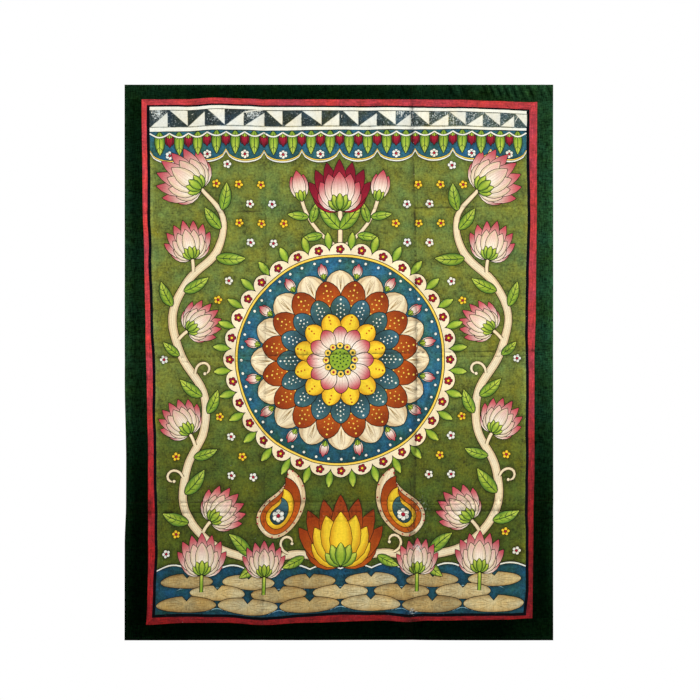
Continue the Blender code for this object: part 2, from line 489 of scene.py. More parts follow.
def ribbon(axis, half):
    """The outline of a stroke whose half width changes along its axis."""
    tangent = unit(np.gradient(axis, axis=0))
    side = np.column_stack((-tangent[:, 1], tangent[:, 0])) * half[:, None]
    second = (axis - side)[::-1]
    pointed = half < 1e-6
    return np.vstack((axis + side, second[int(pointed[-1]) : len(second) - int(pointed[0])]))


def swollen(loop, by):
    """A closed outline moved outwards by a distance."""
    ahead = unit(np.roll(loop, -1, axis=0) - loop)
    behind = unit(loop - np.roll(loop, 1, axis=0))
    out = np.column_stack((ahead[:, 1] + behind[:, 1], -ahead[:, 0] - behind[:, 0]))
    long = np.maximum(np.linalg.norm(out, axis=1, keepdims=True), 1e-9)
    x, y = loop.T
    turning = np.sign((x * np.roll(y, -1) - y * np.roll(x, -1)).sum())
    out = unit(np.where(long > SHARP_CORNER, out * turning / long, behind - ahead))
    return loop + out * by * np.clip(2 / long, 1, 2)


def disc(at, radius, points):
    turns = np.linspace(0, 2 * np.pi, points, endpoint=False)
    return np.column_stack((at[0] + radius * np.sin(turns), at[1] - radius * np.cos(turns)))


def leaf_half(share, width, belly, tip):
    """The half width of a leaf or petal: round at its base and pointed at its tip."""
    power = tip * belly / (1 - belly)
    peak = belly**power * (1 - belly) ** tip
    return width / 2 * share**power * (1 - share) ** tip / peak


def along_line(line, share):
    """The place and the turn at a share of a line's length."""
    moves = np.diff(line, axis=0)
    far = distances_along(line)
    want = share * far[-1]
    k = int(np.clip(np.searchsorted(far, want) - 1, 0, len(moves) - 1))
    part = (want - far[k]) / max(far[k + 1] - far[k], 1e-9)
    return line[k] + moves[k] * part, math.atan2(moves[k, 0], -moves[k, 1])


Shape = namedtuple("Shape", "paint loop axis half tone soaks straight")


class Painting:
    """Shapes of paint in the order they were laid on, later ones over earlier ones."""

    WOBBLE = 0.0011
    SHAKE = 0.00032

    def __init__(self):
        self.shapes = []
        self.side = 1.0
        self.random = np.random.default_rng(7)

    def add(self, paint, loop, axis=None, half=None, soaks=False, straight=False, tone=None):
        """Lays on a shape, mirrored on the left side. Its tone is drawn where it isn't given."""
        flip = np.array((self.side, 1.0))
        axis = None if axis is None else axis * flip
        drawn = self.random.uniform(-1, 1)
        tone = drawn if tone is None else tone
        self.shapes.append(Shape(paint, loop * flip, axis, half, tone, soaks, straight))

    def by_hand(self):
        """The shapes with their points moved a little, as a hand strays from the drawn line."""
        moved = [part for shape in self.shapes for part in (shape.loop, shape.axis) if part is not None]
        points = np.vstack(moved)
        for size, cell, seed in ((self.WOBBLE, 0.060, 21), (self.SHAKE, 0.011, 23)):
            strays = [Unevenness(seed + k, cell)(*points.T) for k in (0, 1)]
            points = points + size * np.column_stack(strays)
        points = strayed(points)
        parts = iter(np.split(points, np.cumsum([len(part) for part in moved])[:-1]))
        for shape in self.shapes:
            loop = next(parts)
            axis = None if shape.axis is None else next(parts)
            yield shape if shape.straight else shape._replace(loop=loop, axis=axis)

    def outlined(self, paint, loop, line, axis, half, soaks=False):
        self.add("ink", swollen(loop, line), soaks=soaks)
        self.add(paint, loop, axis, half, soaks)

    def stroke(self, paint, axis, widest, taper=(0.35, 0.25), ink=0.0, soaks=False):
        """A brush stroke, thinner towards each end, with an ink line of a given width round it."""
        share = shares_of(axis)
        swell = np.minimum(taper[0] + share * 4, 1) * np.minimum(taper[1] + (1 - share) * 4, 1)
        half = widest / 2 * swell
        if ink:
            self.add("ink", ribbon(axis, half + ink))
        self.add(paint, ribbon(axis, half), axis, half, soaks)

    def dot(self, paint, at, radius, points, ink=0.0):
        if ink:
            self.add("ink", disc(at, radius + ink, points))
        self.add(paint, disc(at, radius, points))

    def is_clear(self, at, radius, boxes):
        """Whether a place keeps its distance from the shapes whose boxes are given."""
        at = np.asarray(at) * np.array((self.side, 1.0))
        near = (boxes[:, 1:3] - radius < at).all(axis=1) & (at < boxes[:, 3:5] + radius).all(axis=1)
        for k in boxes[near, 0].astype(int):
            loop = self.shapes[k].loop
            if np.linalg.norm(loop - at, axis=1).min() < radius or inside(loop, at[None])[0]:
                return False
        return True

    def boxes(self, first):
        """The number and the box of each shape laid on since the first."""
        loops = [shape.loop for shape in self.shapes[first:]]
        return np.array([(first + k, *loop.min(axis=0), *loop.max(axis=0)) for k, loop in enumerate(loops)])


def inside(loop, points):
    """Which points lie inside a closed outline, by its winding."""
    x, y = points.T[:, :, None]
    x1, y1 = loop.T[:, None, :]
    x2, y2 = np.roll(loop, -1, axis=0).T[:, None, :]
    left_of = (x2 - x1) * (y - y1) - (x - x1) * (y2 - y1)
    upward = (y1 <= y) & (y2 > y) & (left_of > 0)
    downward = (y1 > y) & (y2 <= y) & (left_of < 0)
    return (upward.sum(axis=1) - downward.sum(axis=1)) != 0


def sides(corners, step=0.010):
    """A closed outline with points along its straight sides, so that a hand can stray on them."""
    corners = np.asarray(corners, float)
    points = []
    for here, after in zip(corners, np.roll(corners, -1, axis=0)):
        count = max(1, round(float(np.linalg.norm(after - here)) / step))
        points.append(here + (after - here) * (np.arange(count)[:, None] / count))
    return np.vstack(points)


def corners_of(half, top, bottom):
    """The corners of a box in the middle of the cloth, clockwise from the upper left."""
    return ((-half, top), (half, top), (half, bottom), (-half, bottom))


# The borders of the panel. Levels are distances below the top seam, at the left and right ends.
# Each side of the red band is one stroke with a tone of its own, from the top one clockwise.
Level = namedtuple("Level", "left right")
RED_BAND = 0.0141
RED_REACH = 0.0260
RED_TONES = (-2.6, -2.0, -2.0, 2.4)
RED_STEP = 0.02
# The red under all the rest reaches past the panel on every side.
UNDER_HALF = 0.6
UNDER_MARGIN = 0.1
BLACK_LINE = 0.0074
FIELD_HALF = SHEET_W / 2 - RED_BAND - BLACK_LINE
FIELD_END = SHEET_H - RED_BAND - BLACK_LINE
RED_ENDS = Level(0.0142, 0.0178)
BLACK_ENDS = Level(0.0188, 0.0220)
UPPER_STRIPE_ENDS = Level(0.0272, 0.0296)
UPPER_LINE = 0.0014
LOWER_LINE = 0.0020
CHARCOAL_MIDDLE = 0.018
CHARCOAL_HALF = 0.040
TEETH_START = Level(0.0288, 0.0318)
TEETH_END = Level(0.0684, 0.0634)
LOWER_STRIPE_START = Level(0.0704, 0.0664)
LOWER_STRIPE_ENDS = Level(0.0806, 0.0722)
FIELD_START = Level(0.0823, 0.0740)

# How far the hand strayed inwards with the black line, down the left and the right side, and how
# far it strayed down with it along the foot.
SideStray = namedtuple("SideStray", "down left right")
SIDE_STRAYS = records(
    SideStray,
    (0.020, -0.0018, 0.0042), (0.170, -0.0018, 0.0042), (0.230, -0.0018, 0.0020),
    (0.330, -0.0028, 0.0020), (0.400, -0.0045, 0.0030), (0.480, -0.0023, 0.0050),
    (0.530, -0.0013, 0.0060), (0.580, -0.0013, 0.0038), (0.633, 0.0018, 0.0010),
    (0.683, 0.0018, 0.0000), (0.760, 0.0000, 0.0000), (0.850, -0.0013, 0.0013),
    (0.960, 0.0000, 0.0013), (1.036, 0.0018, 0.0013), (1.087, 0.0018, -0.0020),
    (1.137, 0.0020, -0.0020), (1.188, 0.0010, -0.0028), (1.238, 0.0003, -0.0038),
    (1.289, -0.0008, 0.0018),
)
FootStray = namedtuple("FootStray", "across down")
FOOT_STRAYS = records(
    FootStray,
    (-0.450, -0.0030), (-0.349, 0.0000), (-0.198, 0.0023), (-0.097, 0.0000), (0.004, -0.0030),
    (0.155, 0.0023), (0.256, 0.0048), (0.357, 0.0045), (0.458, 0.0060),
)
STRAY_REACH = 0.070

# The triangles of the top band, by where each starts and ends across the cloth, at one level.
# All have their upright side on the right.
Tooth = namedtuple("Tooth", "start end points")
TEETH = records(
    Tooth,
    (-0.471, -0.432, "up"), (-0.424, -0.382, "down"), (-0.379, -0.339, "up"),
    (-0.329, -0.289, "down"), (-0.284, -0.240, "up"), (-0.233, -0.188, "up"),
    (-0.181, -0.142, "down"), (-0.135, -0.095, "up"), (-0.090, -0.045, "down"),
    (-0.040, 0.000, "up"), (0.012, 0.049, "down"), (0.053, 0.095, "up"), (0.100, 0.142, "down"),
    (0.145, 0.180, "up"), (0.190, 0.226, "down"), (0.231, 0.275, "up"), (0.281, 0.319, "down"),
    (0.323, 0.362, "up"), (0.369, 0.406, "down"), (0.410, 0.444, "up"), (0.450, 0.478, "down"),
)
TEETH_DOWN = 0.085
TOOTH_GAP = 0.0055
TOOTH_LINE = 0.0011

# Chips and scratches in the dark band behind the triangles: the middle of each across and down
# the cloth, its length, its turn and its width.
Scratch = namedtuple("Scratch", "x down length turn width")
SCRATCHES = records(
    Scratch,
    (-0.2165, 0.0662, 0.050, 1.41, 0.0026), (-0.2260, 0.0700, 0.024, 1.50, 0.0014),
    (-0.1990, 0.0668, 0.016, 1.30, 0.0012), (-0.2320, 0.0730, 0.004, 0.40, 0.0016),
    (-0.2190, 0.0745, 0.005, 1.20, 0.0014), (-0.2050, 0.0735, 0.004, 0.10, 0.0013),
    (-0.2110, 0.0790, 0.004, 0.90, 0.0013), (-0.2400, 0.0770, 0.005, 1.40, 0.0011),
    (-0.4700, 0.0690, 0.005, 0.30, 0.0014), (-0.4610, 0.0720, 0.004, 1.20, 0.0013),
    (-0.4530, 0.0755, 0.005, 0.80, 0.0014), (-0.4460, 0.0700, 0.004, 1.50, 0.0012),
    (-0.4400, 0.0790, 0.003, 0.20, 0.0012), (-0.3690, 0.0740, 0.006, 1.20, 0.0010),
    (-0.3120, 0.0760, 0.007, 0.15, 0.0011), (-0.3020, 0.0860, 0.004, 1.10, 0.0012),
    (-0.1480, 0.0720, 0.005, 0.20, 0.0011), (-0.1050, 0.0830, 0.006, 1.30, 0.0010),
    (-0.0480, 0.0760, 0.006, 0.10, 0.0011), (0.0070, 0.0800, 0.008, 0.05, 0.0012),
    (0.0330, 0.0740, 0.005, 1.20, 0.0011), (0.0960, 0.0780, 0.007, 0.10, 0.0011),
    (0.1480, 0.0720, 0.010, 0.06, 0.0012), (0.1580, 0.0750, 0.013, -0.05, 0.0014),
    (0.1640, 0.0640, 0.004, 1.10, 0.0022), (0.1690, 0.0780, 0.009, 0.10, 0.0011),
    (0.1790, 0.0680, 0.004, 0.90, 0.0020), (0.1850, 0.0800, 0.012, 0.02, 0.0012),
    (0.2410, 0.0730, 0.006, 0.20, 0.0011), (0.2890, 0.0800, 0.004, 0.05, 0.0012),
    (0.2890, 0.0870, 0.005, -0.05, 0.0012), (0.2880, 0.0940, 0.004, 0.05, 0.0012),
    (0.2890, 0.0995, 0.003, 0.00, 0.0012), (0.3400, 0.0760, 0.006, 1.20, 0.0010),
    (0.3770, 0.0840, 0.005, 0.60, 0.0011), (0.4520, 0.0860, 0.016, 0.55, 0.0014),
    (0.4630, 0.0760, 0.005, 1.20, 0.0011),
)


def level_at(level, p):
    return level.left + (level.right - level.left) * (p / (2 * FIELD_HALF) + 0.5)


def band(upper, lower, half=FIELD_HALF):
    """The outline of a band that runs across the panel between two levels."""
    corners = ((-half, upper.left), (half, upper.right), (half, lower.right), (-half, lower.left))
    return sides(corners)


def level_line(level):
    """A line that runs across the panel along a level."""
    across = np.linspace(-FIELD_HALF, FIELD_HALF, 48)
    return np.column_stack((across, level_at(level, across)))


def strayed(points):
    """Places near the sides and the foot of the field, moved as far as the hand strayed there."""
    p, q = points.T
    down, left, right = np.array(SIDE_STRAYS).T
    across, foot = np.array(FOOT_STRAYS).T
    near_side = eased((abs(p) - FIELD_HALF + STRAY_REACH) / STRAY_REACH)
    near_foot = eased((q - FIELD_END + STRAY_REACH) / STRAY_REACH)
    inwards = np.where(p < 0, np.interp(q, down, left), -np.interp(q, down, right))
    return np.column_stack((p + inwards * near_side, q + np.interp(p, across, foot) * near_foot))


def paint_borders(art):
    end = Level(FIELD_END, FIELD_END)
    under = corners_of(UNDER_HALF, -UNDER_MARGIN, SHEET_H + UNDER_MARGIN)
    art.add("red", sides(under), straight=True)
    corners = corners_of(SHEET_W / 2, 0.0, SHEET_H)
    for start, finish, tone in zip(corners, corners[1:] + corners[:1], RED_TONES):
        paint_red_side(art, np.array(start), np.array(finish), tone)
    black_end = Level(FIELD_END + BLACK_LINE, FIELD_END + BLACK_LINE)
    art.add("black", band(RED_ENDS, black_end, FIELD_HALF + BLACK_LINE), soaks=True)
    art.add("white", band(BLACK_ENDS, end), soaks=True, tone=0.0)
    middle = np.linspace(-FIELD_HALF, FIELD_HALF, 8)
    middle = np.column_stack((middle, level_at(TEETH_START, middle) + CHARCOAL_MIDDLE))
    art.add("charcoal", band(UPPER_STRIPE_ENDS, end), middle, np.full(8, CHARCOAL_HALF), soaks=True)
    art.stroke("ink", level_line(UPPER_STRIPE_ENDS), UPPER_LINE)
    for tooth in TEETH:
        paint_tooth(art, tooth)
    for scratch in SCRATCHES:
        at = on_sheet(np.array((scratch.x,)), np.array((scratch.down,)))[0]
        start = at - heading(scratch.turn) * scratch.length / 2
        line = swept(start, scratch.turn, scratch.length, steps=4)
        art.stroke("chalk", line, scratch.width, taper=(0.3, 0.3))
    art.add("white", band(LOWER_STRIPE_START, end), soaks=True, tone=-0.1)
    art.stroke("faded_line", level_line(LOWER_STRIPE_START), LOWER_LINE)
    art.add("black", band(LOWER_STRIPE_ENDS, end))
    art.add("olive", band(FIELD_START, end), soaks=True)


def paint_red_side(art, start, finish, tone):
    """One side of the red band as a long stroke, mitred at its corners."""
    length = float(np.linalg.norm(finish - start))
    ahead = (finish - start) / length
    inwards = np.array((-ahead[1], ahead[0])) * RED_REACH
    mitre = ahead * RED_REACH
    loop = sides((start, finish, finish + inwards - mitre, start + inwards + mitre))
    share = np.linspace(0, 1, round(length / RED_STEP) + 1)
    axis = start + inwards / 2 + (finish - start) * share[:, None]
    art.add("red", loop, axis, np.full(len(axis), RED_REACH / 2), straight=True, tone=tone)


def paint_tooth(art, tooth):
    start, end = on_sheet(np.array((tooth.start, tooth.end)), np.full(2, TEETH_DOWN))[:, 0]
    top = level_at(TEETH_START, end)
    bottom = level_at(TEETH_END, end)
    if tooth.points == "up":
        corners = ((start, bottom), (end, bottom), (end, top + TOOTH_GAP))
    else:
        corners = ((start, top), (end, top), (end, bottom - TOOTH_GAP * 0.5))
    art.add("faded_line", swollen(sides(corners, 0.014), TOOTH_LINE))
    art.add("chalk", sides(corners, 0.007), soaks=True)


# Motifs. The width of a fine brush line and the ink lines round stalks and petals.
FINE_LINE = 0.0013
STALK_INK = 0.0015
LEAF_BELLY = 0.42
LEAF_TIP = 0.9


def petal(
    art, paint, at, turn, length, width, bend=0.0, belly=0.5, tip=0.8, line=STALK_INK, steps=8, **more
):
    """One petal or leaf from its base, and the line that it leaves for others to start from."""
    axis = swept(at, turn, length, bend, steps)
    half = leaf_half(shares_of(axis), width, belly, tip)
    art.outlined(paint, ribbon(axis, half), line, axis, half, **more)
    return axis


def stalk(art, line, width, ink=STALK_INK, paint="cream", **more):
    """A stalk of even width along a line. Gives its end."""
    art.stroke(paint, line, width, taper=(1, 1), ink=ink, **more)
    return line[-1]


def leaf(art, at, turn, length, width, bend=0.0, veins=3):
    axis = petal(art, "lime", at, turn, length, width, bend, LEAF_BELLY, LEAF_TIP, soaks=True)
    art.stroke("deep_green", axis[:-1], width * 0.075)
    for share in np.linspace(0.22, 0.66, veins):
        place, ahead = along_line(axis, share)
        reach = leaf_half(share, width, LEAF_BELLY, LEAF_TIP) * 0.95
        for side in (-1, 1):
            rib = swept(place, ahead + side * 0.95, reach * 1.15, bend=-side * 0.5, steps=3)
            art.stroke("deep_green", rib, FINE_LINE, taper=(0.9, 0.1))


# The petals of a lotus: how far each pair turns away from the middle one, and its length and
# width as shares of the flower's size.
PetalPlace = namedtuple("PetalPlace", "spread length width")
LOTUS_BACK = records(
    PetalPlace,
    (1.42, 0.62, 0.25), (1.08, 0.86, 0.29), (0.70, 0.97, 0.31), (0.34, 1.02, 0.31),
)
LOTUS_FRONT = records(
    PetalPlace,
    (1.20, 0.56, 0.25), (0.78, 0.70, 0.31), (0.38, 0.78, 0.33),
)
BUD_PETALS = records(PetalPlace, (0.30, 0.86, 0.34))
CUP_LEAVES = records(PetalPlace, (1.15, 0.30, 0.15), (0.55, 0.34, 0.16))


def fan(art, paint, at, turn, size, places, middle, **more):
    """Petals that open to both sides of a line, the outer ones behind, and one in the middle."""
    for spread, length, width in places:
        for side in (-1, 1):
            bend = -side * spread * 0.45
            petal(art, paint, at, turn + side * spread, size * length, size * width, bend, **more)
    petal(art, paint, at, turn, size * middle.length, size * middle.width, **more)


def lotus(art, at, turn, size, back="blush", front="ivory"):
    fan(art, back, at, turn, size, LOTUS_BACK, PetalPlace(0, 1.05, 0.31), tip=0.9, soaks=True)
    fan(art, front, at, turn, size, LOTUS_FRONT, PetalPlace(0, 0.80, 0.34), tip=0.9, soaks=True)
    fan(art, "lime", at, turn, size, CUP_LEAVES, PetalPlace(0, 0.34, 0.17), line=0.0012, steps=6)


def bud(art, at, turn, size, paint="blush"):
    fan(art, paint, at, turn, size, BUD_PETALS, PetalPlace(0, 1.0, 0.40), tip=0.9, soaks=True)
    fan(art, "lime", at, turn, size, CUP_LEAVES[1:], PetalPlace(0, 0.36, 0.18), line=0.0012, steps=6)


def rosette(art, at, radius, petals, paint, heart, start=0.0):
    """A small open flower seen from above."""
    for k in range(petals):
        turn = start + math.tau * k / petals
        petal(art, paint, at, turn, radius, radius * 0.75, belly=0.62, tip=0.45, line=0.0011, steps=5)
    art.dot(heart, at, radius * 0.30, 9, ink=0.0010)


def bead(art, at, radius, heart):
    """A gold bead with a coloured stone."""
    art.dot("gold", at, radius, 10, ink=0.0012)
    art.dot(heart, at, radius * 0.45, 7)


def curl(art, at, turn, length, bend, width):
    """A tendril that winds up at its end."""
    axis = swept(at, turn, length, bend, steps=16, tighten=1.5)
    art.stroke("cream", axis, width, taper=(0.8, 0.3), ink=FINE_LINE)
    art.dot("cream", axis[-1], width * 0.62, 9, ink=FINE_LINE)


PAISLEY_FOOT = (0.205, 1.078)
PAISLEY_TURN = -0.95
PAISLEY_SIZE = 0.190
PAISLEY_BEND = 1.75
PAISLEY_RINGS = (("cream", 1.0), ("rust", 0.82), ("yellow", 0.58), ("navy", 0.38))


def paisley(art, at, turn, size):
    """A mango leaf with a bent tip, filled ring within ring, with a flower at its heart."""
    heart, _ = along_line(swept(at, turn, size, PAISLEY_BEND, 24, tighten=2.2), 0.30)
    for paint, share in PAISLEY_RINGS:
        start = heart + (np.asarray(at) - heart) * share
        axis = swept(start, turn, size * share, PAISLEY_BEND, 24, tighten=2.2)
        half = leaf_half(shares_of(axis), size * share * 0.52, belly=0.30, tip=1.0)
        art.outlined(paint, ribbon(axis, half), 0.0016, axis, half, soaks=share > 0.5)
        if paint == "cream":
            for point in ribbon(axis, half * 0.90)[2:-2:2]:
                art.dot("crimson", point, size * 0.012, 6)
    rosette(art, heart, size * 0.085, 6, "white", "crimson")


# The medallion in the middle of the field: rings of petals, from the outermost in, each with a
# number of dots down its petals.
SMALL_FLOWER = 0.0105
MEDALLION = np.array((0.0, 0.655))
RingRow = namedtuple("RingRow", "paint count inner outer width half_step dots dot_paint")
MEDALLION_ROWS = (
    RingRow("cream", 16, 0.130, 0.226, 0.074, 0.0, 0, ""),
    RingRow("rust", 16, 0.100, 0.200, 0.062, 0.5, 5, "gold"),
    RingRow("navy", 16, 0.076, 0.160, 0.050, 0.0, 5, "white"),
    RingRow("yellow", 12, 0.050, 0.118, 0.048, 0.5, 3, "rust"),
    RingRow("blush", 12, 0.030, 0.084, 0.036, 0.0, 0, ""),
)
SCALLOPS = 32
SCALLOP_RADIUS = 0.0290
SCALLOP_LINE = 0.0018
RIM_RADIUS = 0.268
RIM_LEAF = (0.042, 0.020)
RIM_LEAF_PAST = 0.012
RIM_FLOWER_PAST = 0.011
FIELD_RING = 0.258
PEARLS = 48
PEARL_RADIUS = 0.0034
PEARL_INSET = 0.0085
BUDS = 16
BUD_RING = 0.206
BUD_SIZE = 0.040
BEADS = 12
BEAD_RING = 0.036
BEAD_RADIUS = 0.0078
# The green heart, and the rings of seeds on it, by how many there are and how far out.
HEART_RADIUS = 0.027
SEED_RINGS = ((1, 0.0), (6, 0.0095), (11, 0.0190))
SEED_RADIUS = 0.0024
# The rings of paint round the medallion's blue ground, by how far they reach past it.
MEDALLION_RINGS = (("ink", 0.0085), ("gold", 0.0066), ("ink", 0.0018), ("blue", 0.0))


def round_medallion(count, radius, half_step=0.0):
    """Places evenly round the medallion, each with the turn that points away from its middle."""
    for k in range(count):
        turn = math.tau * (k + half_step) / count
        yield MEDALLION + radius * heading(turn), turn


def medallion(art):
    for at, turn in round_medallion(SCALLOPS, RIM_RADIUS + RIM_LEAF_PAST, 0.5):
        petal(art, "lime", at, turn, *RIM_LEAF, line=0.0014, steps=6, soaks=True)
    for paint, radius in (("ink", SCALLOP_RADIUS), ("cream", SCALLOP_RADIUS - SCALLOP_LINE)):
        for at, _ in round_medallion(SCALLOPS, RIM_RADIUS):
            art.add(paint, disc(at, radius, 22), soaks=True)
    for at, _ in round_medallion(SCALLOPS, RIM_RADIUS + RIM_FLOWER_PAST):
        rosette(art, at, SMALL_FLOWER, 5, "crimson", "yellow", start=0.3)
    for paint, past in MEDALLION_RINGS:
        art.add(paint, disc(MEDALLION, FIELD_RING + past, 110), soaks=paint == "blue")
    for at, _ in round_medallion(PEARLS, FIELD_RING - PEARL_INSET):
        art.dot("white", at, PEARL_RADIUS, 8, ink=0.0010)
    for at, turn in round_medallion(BUDS, BUD_RING, 0.5):
        bud(art, at, turn, BUD_SIZE)
    for row in MEDALLION_ROWS:
        medallion_row(art, row)
    for at, turn in round_medallion(BEADS, BEAD_RING):
        stone = "crimson" if round(turn / math.tau * BEADS) % 2 else "deep_green"
        bead(art, at, BEAD_RADIUS, stone)
    art.dot("lime", MEDALLION, HEART_RADIUS, 30, ink=0.0016)
    for count, radius in SEED_RINGS:
        for at, _ in round_medallion(count, radius):
            art.dot("deep_green", at, SEED_RADIUS, 7)


def medallion_row(art, row):
    length = row.outer - row.inner
    shape = {"belly": 0.58, "tip": 0.62, "line": 0.0018, "steps": 10}
    for at, turn in round_medallion(row.count, row.inner, row.half_step):
        axis = petal(art, row.paint, at, turn, length, row.width, soaks=True, **shape)
        if row.paint == "cream":
            foot = at + heading(turn) * length * 0.45
            for side in (-1, 0, 1):
                art.stroke("tan_line", swept(foot, turn + side * 0.10, length * 0.42, steps=4), FINE_LINE)
        for k in range(row.dots):
            place, _ = along_line(axis, 0.90 - 0.13 * k)
            art.dot(row.dot_paint, place, 0.0026 - 0.0002 * k, 7)
            if row.dots > 3 and 0 < k < 4:
                for side in (-1, 1):
                    aside = heading(turn + side * math.pi / 2) * row.width * (0.13 + 0.02 * k)
                    art.dot(row.dot_paint, place + aside - heading(turn) * 0.004, 0.0017, 6)


# A blue canopy with a scalloped edge under the band of triangles, and a flower in each scallop.
CANOPY_DEPTH = 0.072
CANOPY_ARCHES = 10
CANOPY_RISE = 0.026
CANOPY_FLOWER_LIFT = 0.0135
CANOPY_EDGE = (
    ("ink", 0.0088), ("white", 0.0070), ("ink", 0.0036), ("gold", 0.0024), ("ink", 0.0), ("blue", -0.0014)
)


def arches(count, points):
    """Places across the field, and how high a row of arches stands at each, from 0 to 1."""
    across = np.linspace(-FIELD_HALF, FIELD_HALF, count * points + 1)
    return across, abs(np.sin(np.pi * (across + FIELD_HALF) / (2 * FIELD_HALF) * count))


def canopy(art):
    across, arch = arches(CANOPY_ARCHES, 12)
    start = level_at(FIELD_START, across)
    top = np.column_stack((across, start))[::-12]
    for paint, drop in CANOPY_EDGE:
        edge = start + CANOPY_DEPTH - CANOPY_RISE * (1 - np.sqrt(arch)) + drop
        art.add(paint, np.vstack((np.column_stack((across, edge)), top)), soaks=paint in ("ink", "blue"))
    for k in range(CANOPY_ARCHES):
        p = -FIELD_HALF + 2 * FIELD_HALF * (k + 0.5) / CANOPY_ARCHES
        at = (p, level_at(FIELD_START, p) + CANOPY_DEPTH - CANOPY_FLOWER_LIFT)
        rosette(art, at, SMALL_FLOWER, 6, "white", "crimson")


# A row of leaves and buds that hangs under the band of triangles.
TORAN_STEP = 0.0472
TORAN_BUD = 0.034
TORAN_BUD_DROP = 0.004
TORAN_LEAF = (0.058, 0.024)
SWAG_DROP = 0.0035
SWAG_SAG = 0.010
SWAG_WIDTH = 0.0034


def toran(art):
    count = round(2 * FIELD_HALF / TORAN_STEP)
    step = 2 * FIELD_HALF / count
    for k in range(1, count):
        p = -FIELD_HALF + step * k
        bud(art, (p, level_at(FIELD_START, p) + TORAN_BUD_DROP), math.pi, TORAN_BUD, "crimson")
    share = np.linspace(0, 1, 9)
    for k in range(count):
        p = -FIELD_HALF + step * (k + 0.5)
        q = level_at(FIELD_START, p)
        leaf(art, (p, q), math.pi, *TORAN_LEAF, veins=2)
        sag = q + SWAG_DROP + SWAG_SAG * np.sin(np.pi * share)
        swag = np.column_stack((p + step * (share - 0.5), sag))
        stalk(art, swag, SWAG_WIDTH, ink=0.0010, paint="white")


# The vine of the right half, from the water up to the top corner. The left one mirrors it.
VINE = (
    (0.030, 1.158), (0.110, 1.142), (0.215, 1.150), (0.325, 1.120), (0.398, 1.030), (0.392, 0.925),
    (0.348, 0.830), (0.350, 0.735), (0.402, 0.645), (0.424, 0.545), (0.382, 0.455), (0.312, 0.388),
    (0.292, 0.300), (0.345, 0.225),
)
# What grows from the vine: at which share of its length, to which side, and turned how far from it.
VineSpot = namedtuple("VineSpot", "share side kind size turn")
VINE_SPOTS = records(
    VineSpot,
    (0.045, 1, "leaf", 0.060, 0.75), (0.075, -1, "curl", 0.085, 0.55),
    (0.135, 1, "leaf", 0.066, 0.95), (0.150, -1, "leaf", 0.074, 0.80),
    (0.215, 1, "leaf", 0.070, 0.85), (0.260, -1, "lotus", 0.094, 1.25),
    (0.290, 1, "leaf", 0.072, 0.80), (0.345, -1, "leaf", 0.078, 0.85),
    (0.375, 1, "curl", 0.080, 0.60), (0.420, -1, "leaf", 0.062, 1.00),
    (0.440, 1, "lotus", 0.088, 0.80), (0.505, -1, "leaf", 0.064, 0.55),
    (0.540, 1, "leaf", 0.070, 0.90), (0.585, -1, "curl", 0.080, 0.70),
    (0.630, 1, "leaf", 0.052, 0.60), (0.660, -1, "lotus", 0.086, 1.00),
    (0.725, 1, "leaf", 0.066, 0.85), (0.760, -1, "leaf", 0.070, 0.75),
    (0.800, 1, "lotus", 0.092, 0.75), (0.850, -1, "leaf", 0.074, 0.95),
    (0.905, 1, "leaf", 0.066, 0.95), (0.940, -1, "leaf", 0.070, 0.85),
)
VINE_WIDTH = 0.0200
LOTUS_STALK = 0.034
TOP_LOTUS_TURN = 0.95
TOP_LOTUS_SIZE = 0.115


def vine(art):
    stem = spline(VINE, per_span=7)
    art.stroke("cream", stem, VINE_WIDTH, taper=(1.0, 0.40), ink=0.0018, soaks=True)
    for spot in VINE_SPOTS:
        at, ahead = along_line(stem, spot.share)
        turn = ahead + spot.side * spot.turn
        edge = at + heading(turn) * VINE_WIDTH * 0.40
        if spot.kind == "leaf":
            leaf(art, edge, turn, spot.size, spot.size * 0.42, bend=-spot.side * 0.35)
        elif spot.kind == "curl":
            curl(art, edge, turn, spot.size, spot.side * 4.6, 0.0062)
        else:
            end = stalk(art, swept(edge, turn, LOTUS_STALK, spot.side * 0.3, steps=5), 0.0080)
            lotus(art, end, turn + spot.side * 0.3, spot.size)
    lotus(art, stem[-1], TOP_LOTUS_TURN, TOP_LOTUS_SIZE)


# The spray above the medallion. The leaves of its side stalks lie at a share of their length, and
# turn away from them.
SPRAY_FOOT = np.array((0.0, 0.372))
SIDE_STALK = 0.155
SIDE_LEAVES = ((0.35, 0.9), (0.62, -0.8), (0.72, 0.9))
SIDE_LEAF = (0.052, 0.022)
SIDE_BUD = 0.078
MIDDLE_STALK = 0.095
MIDDLE_LEAF = (0.080, 0.034)
MIDDLE_LOTUS = 0.120


def lotus_spray(art):
    """The upright lotus above the medallion, with a bud on each side."""
    for side in (-1, 1):
        line = swept(SPRAY_FOOT, side * 1.15, SIDE_STALK, -side * 0.95, steps=9)
        end = stalk(art, line, 0.0085)
        for share, turn in SIDE_LEAVES:
            at, ahead = along_line(line, share)
            leaf(art, at, ahead + side * turn, *SIDE_LEAF, veins=2)
        bud(art, end, side * 0.20, SIDE_BUD)
    line = swept(SPRAY_FOOT, 0.0, MIDDLE_STALK, steps=4)
    end = stalk(art, line, 0.0110, ink=0.0016, soaks=True)
    for side in (-1, 1):
        leaf(art, line[2], side * 0.85, *MIDDLE_LEAF, bend=-side * 0.3)
    lotus(art, end, 0.0, MIDDLE_LOTUS, back="crimson", front="blush")


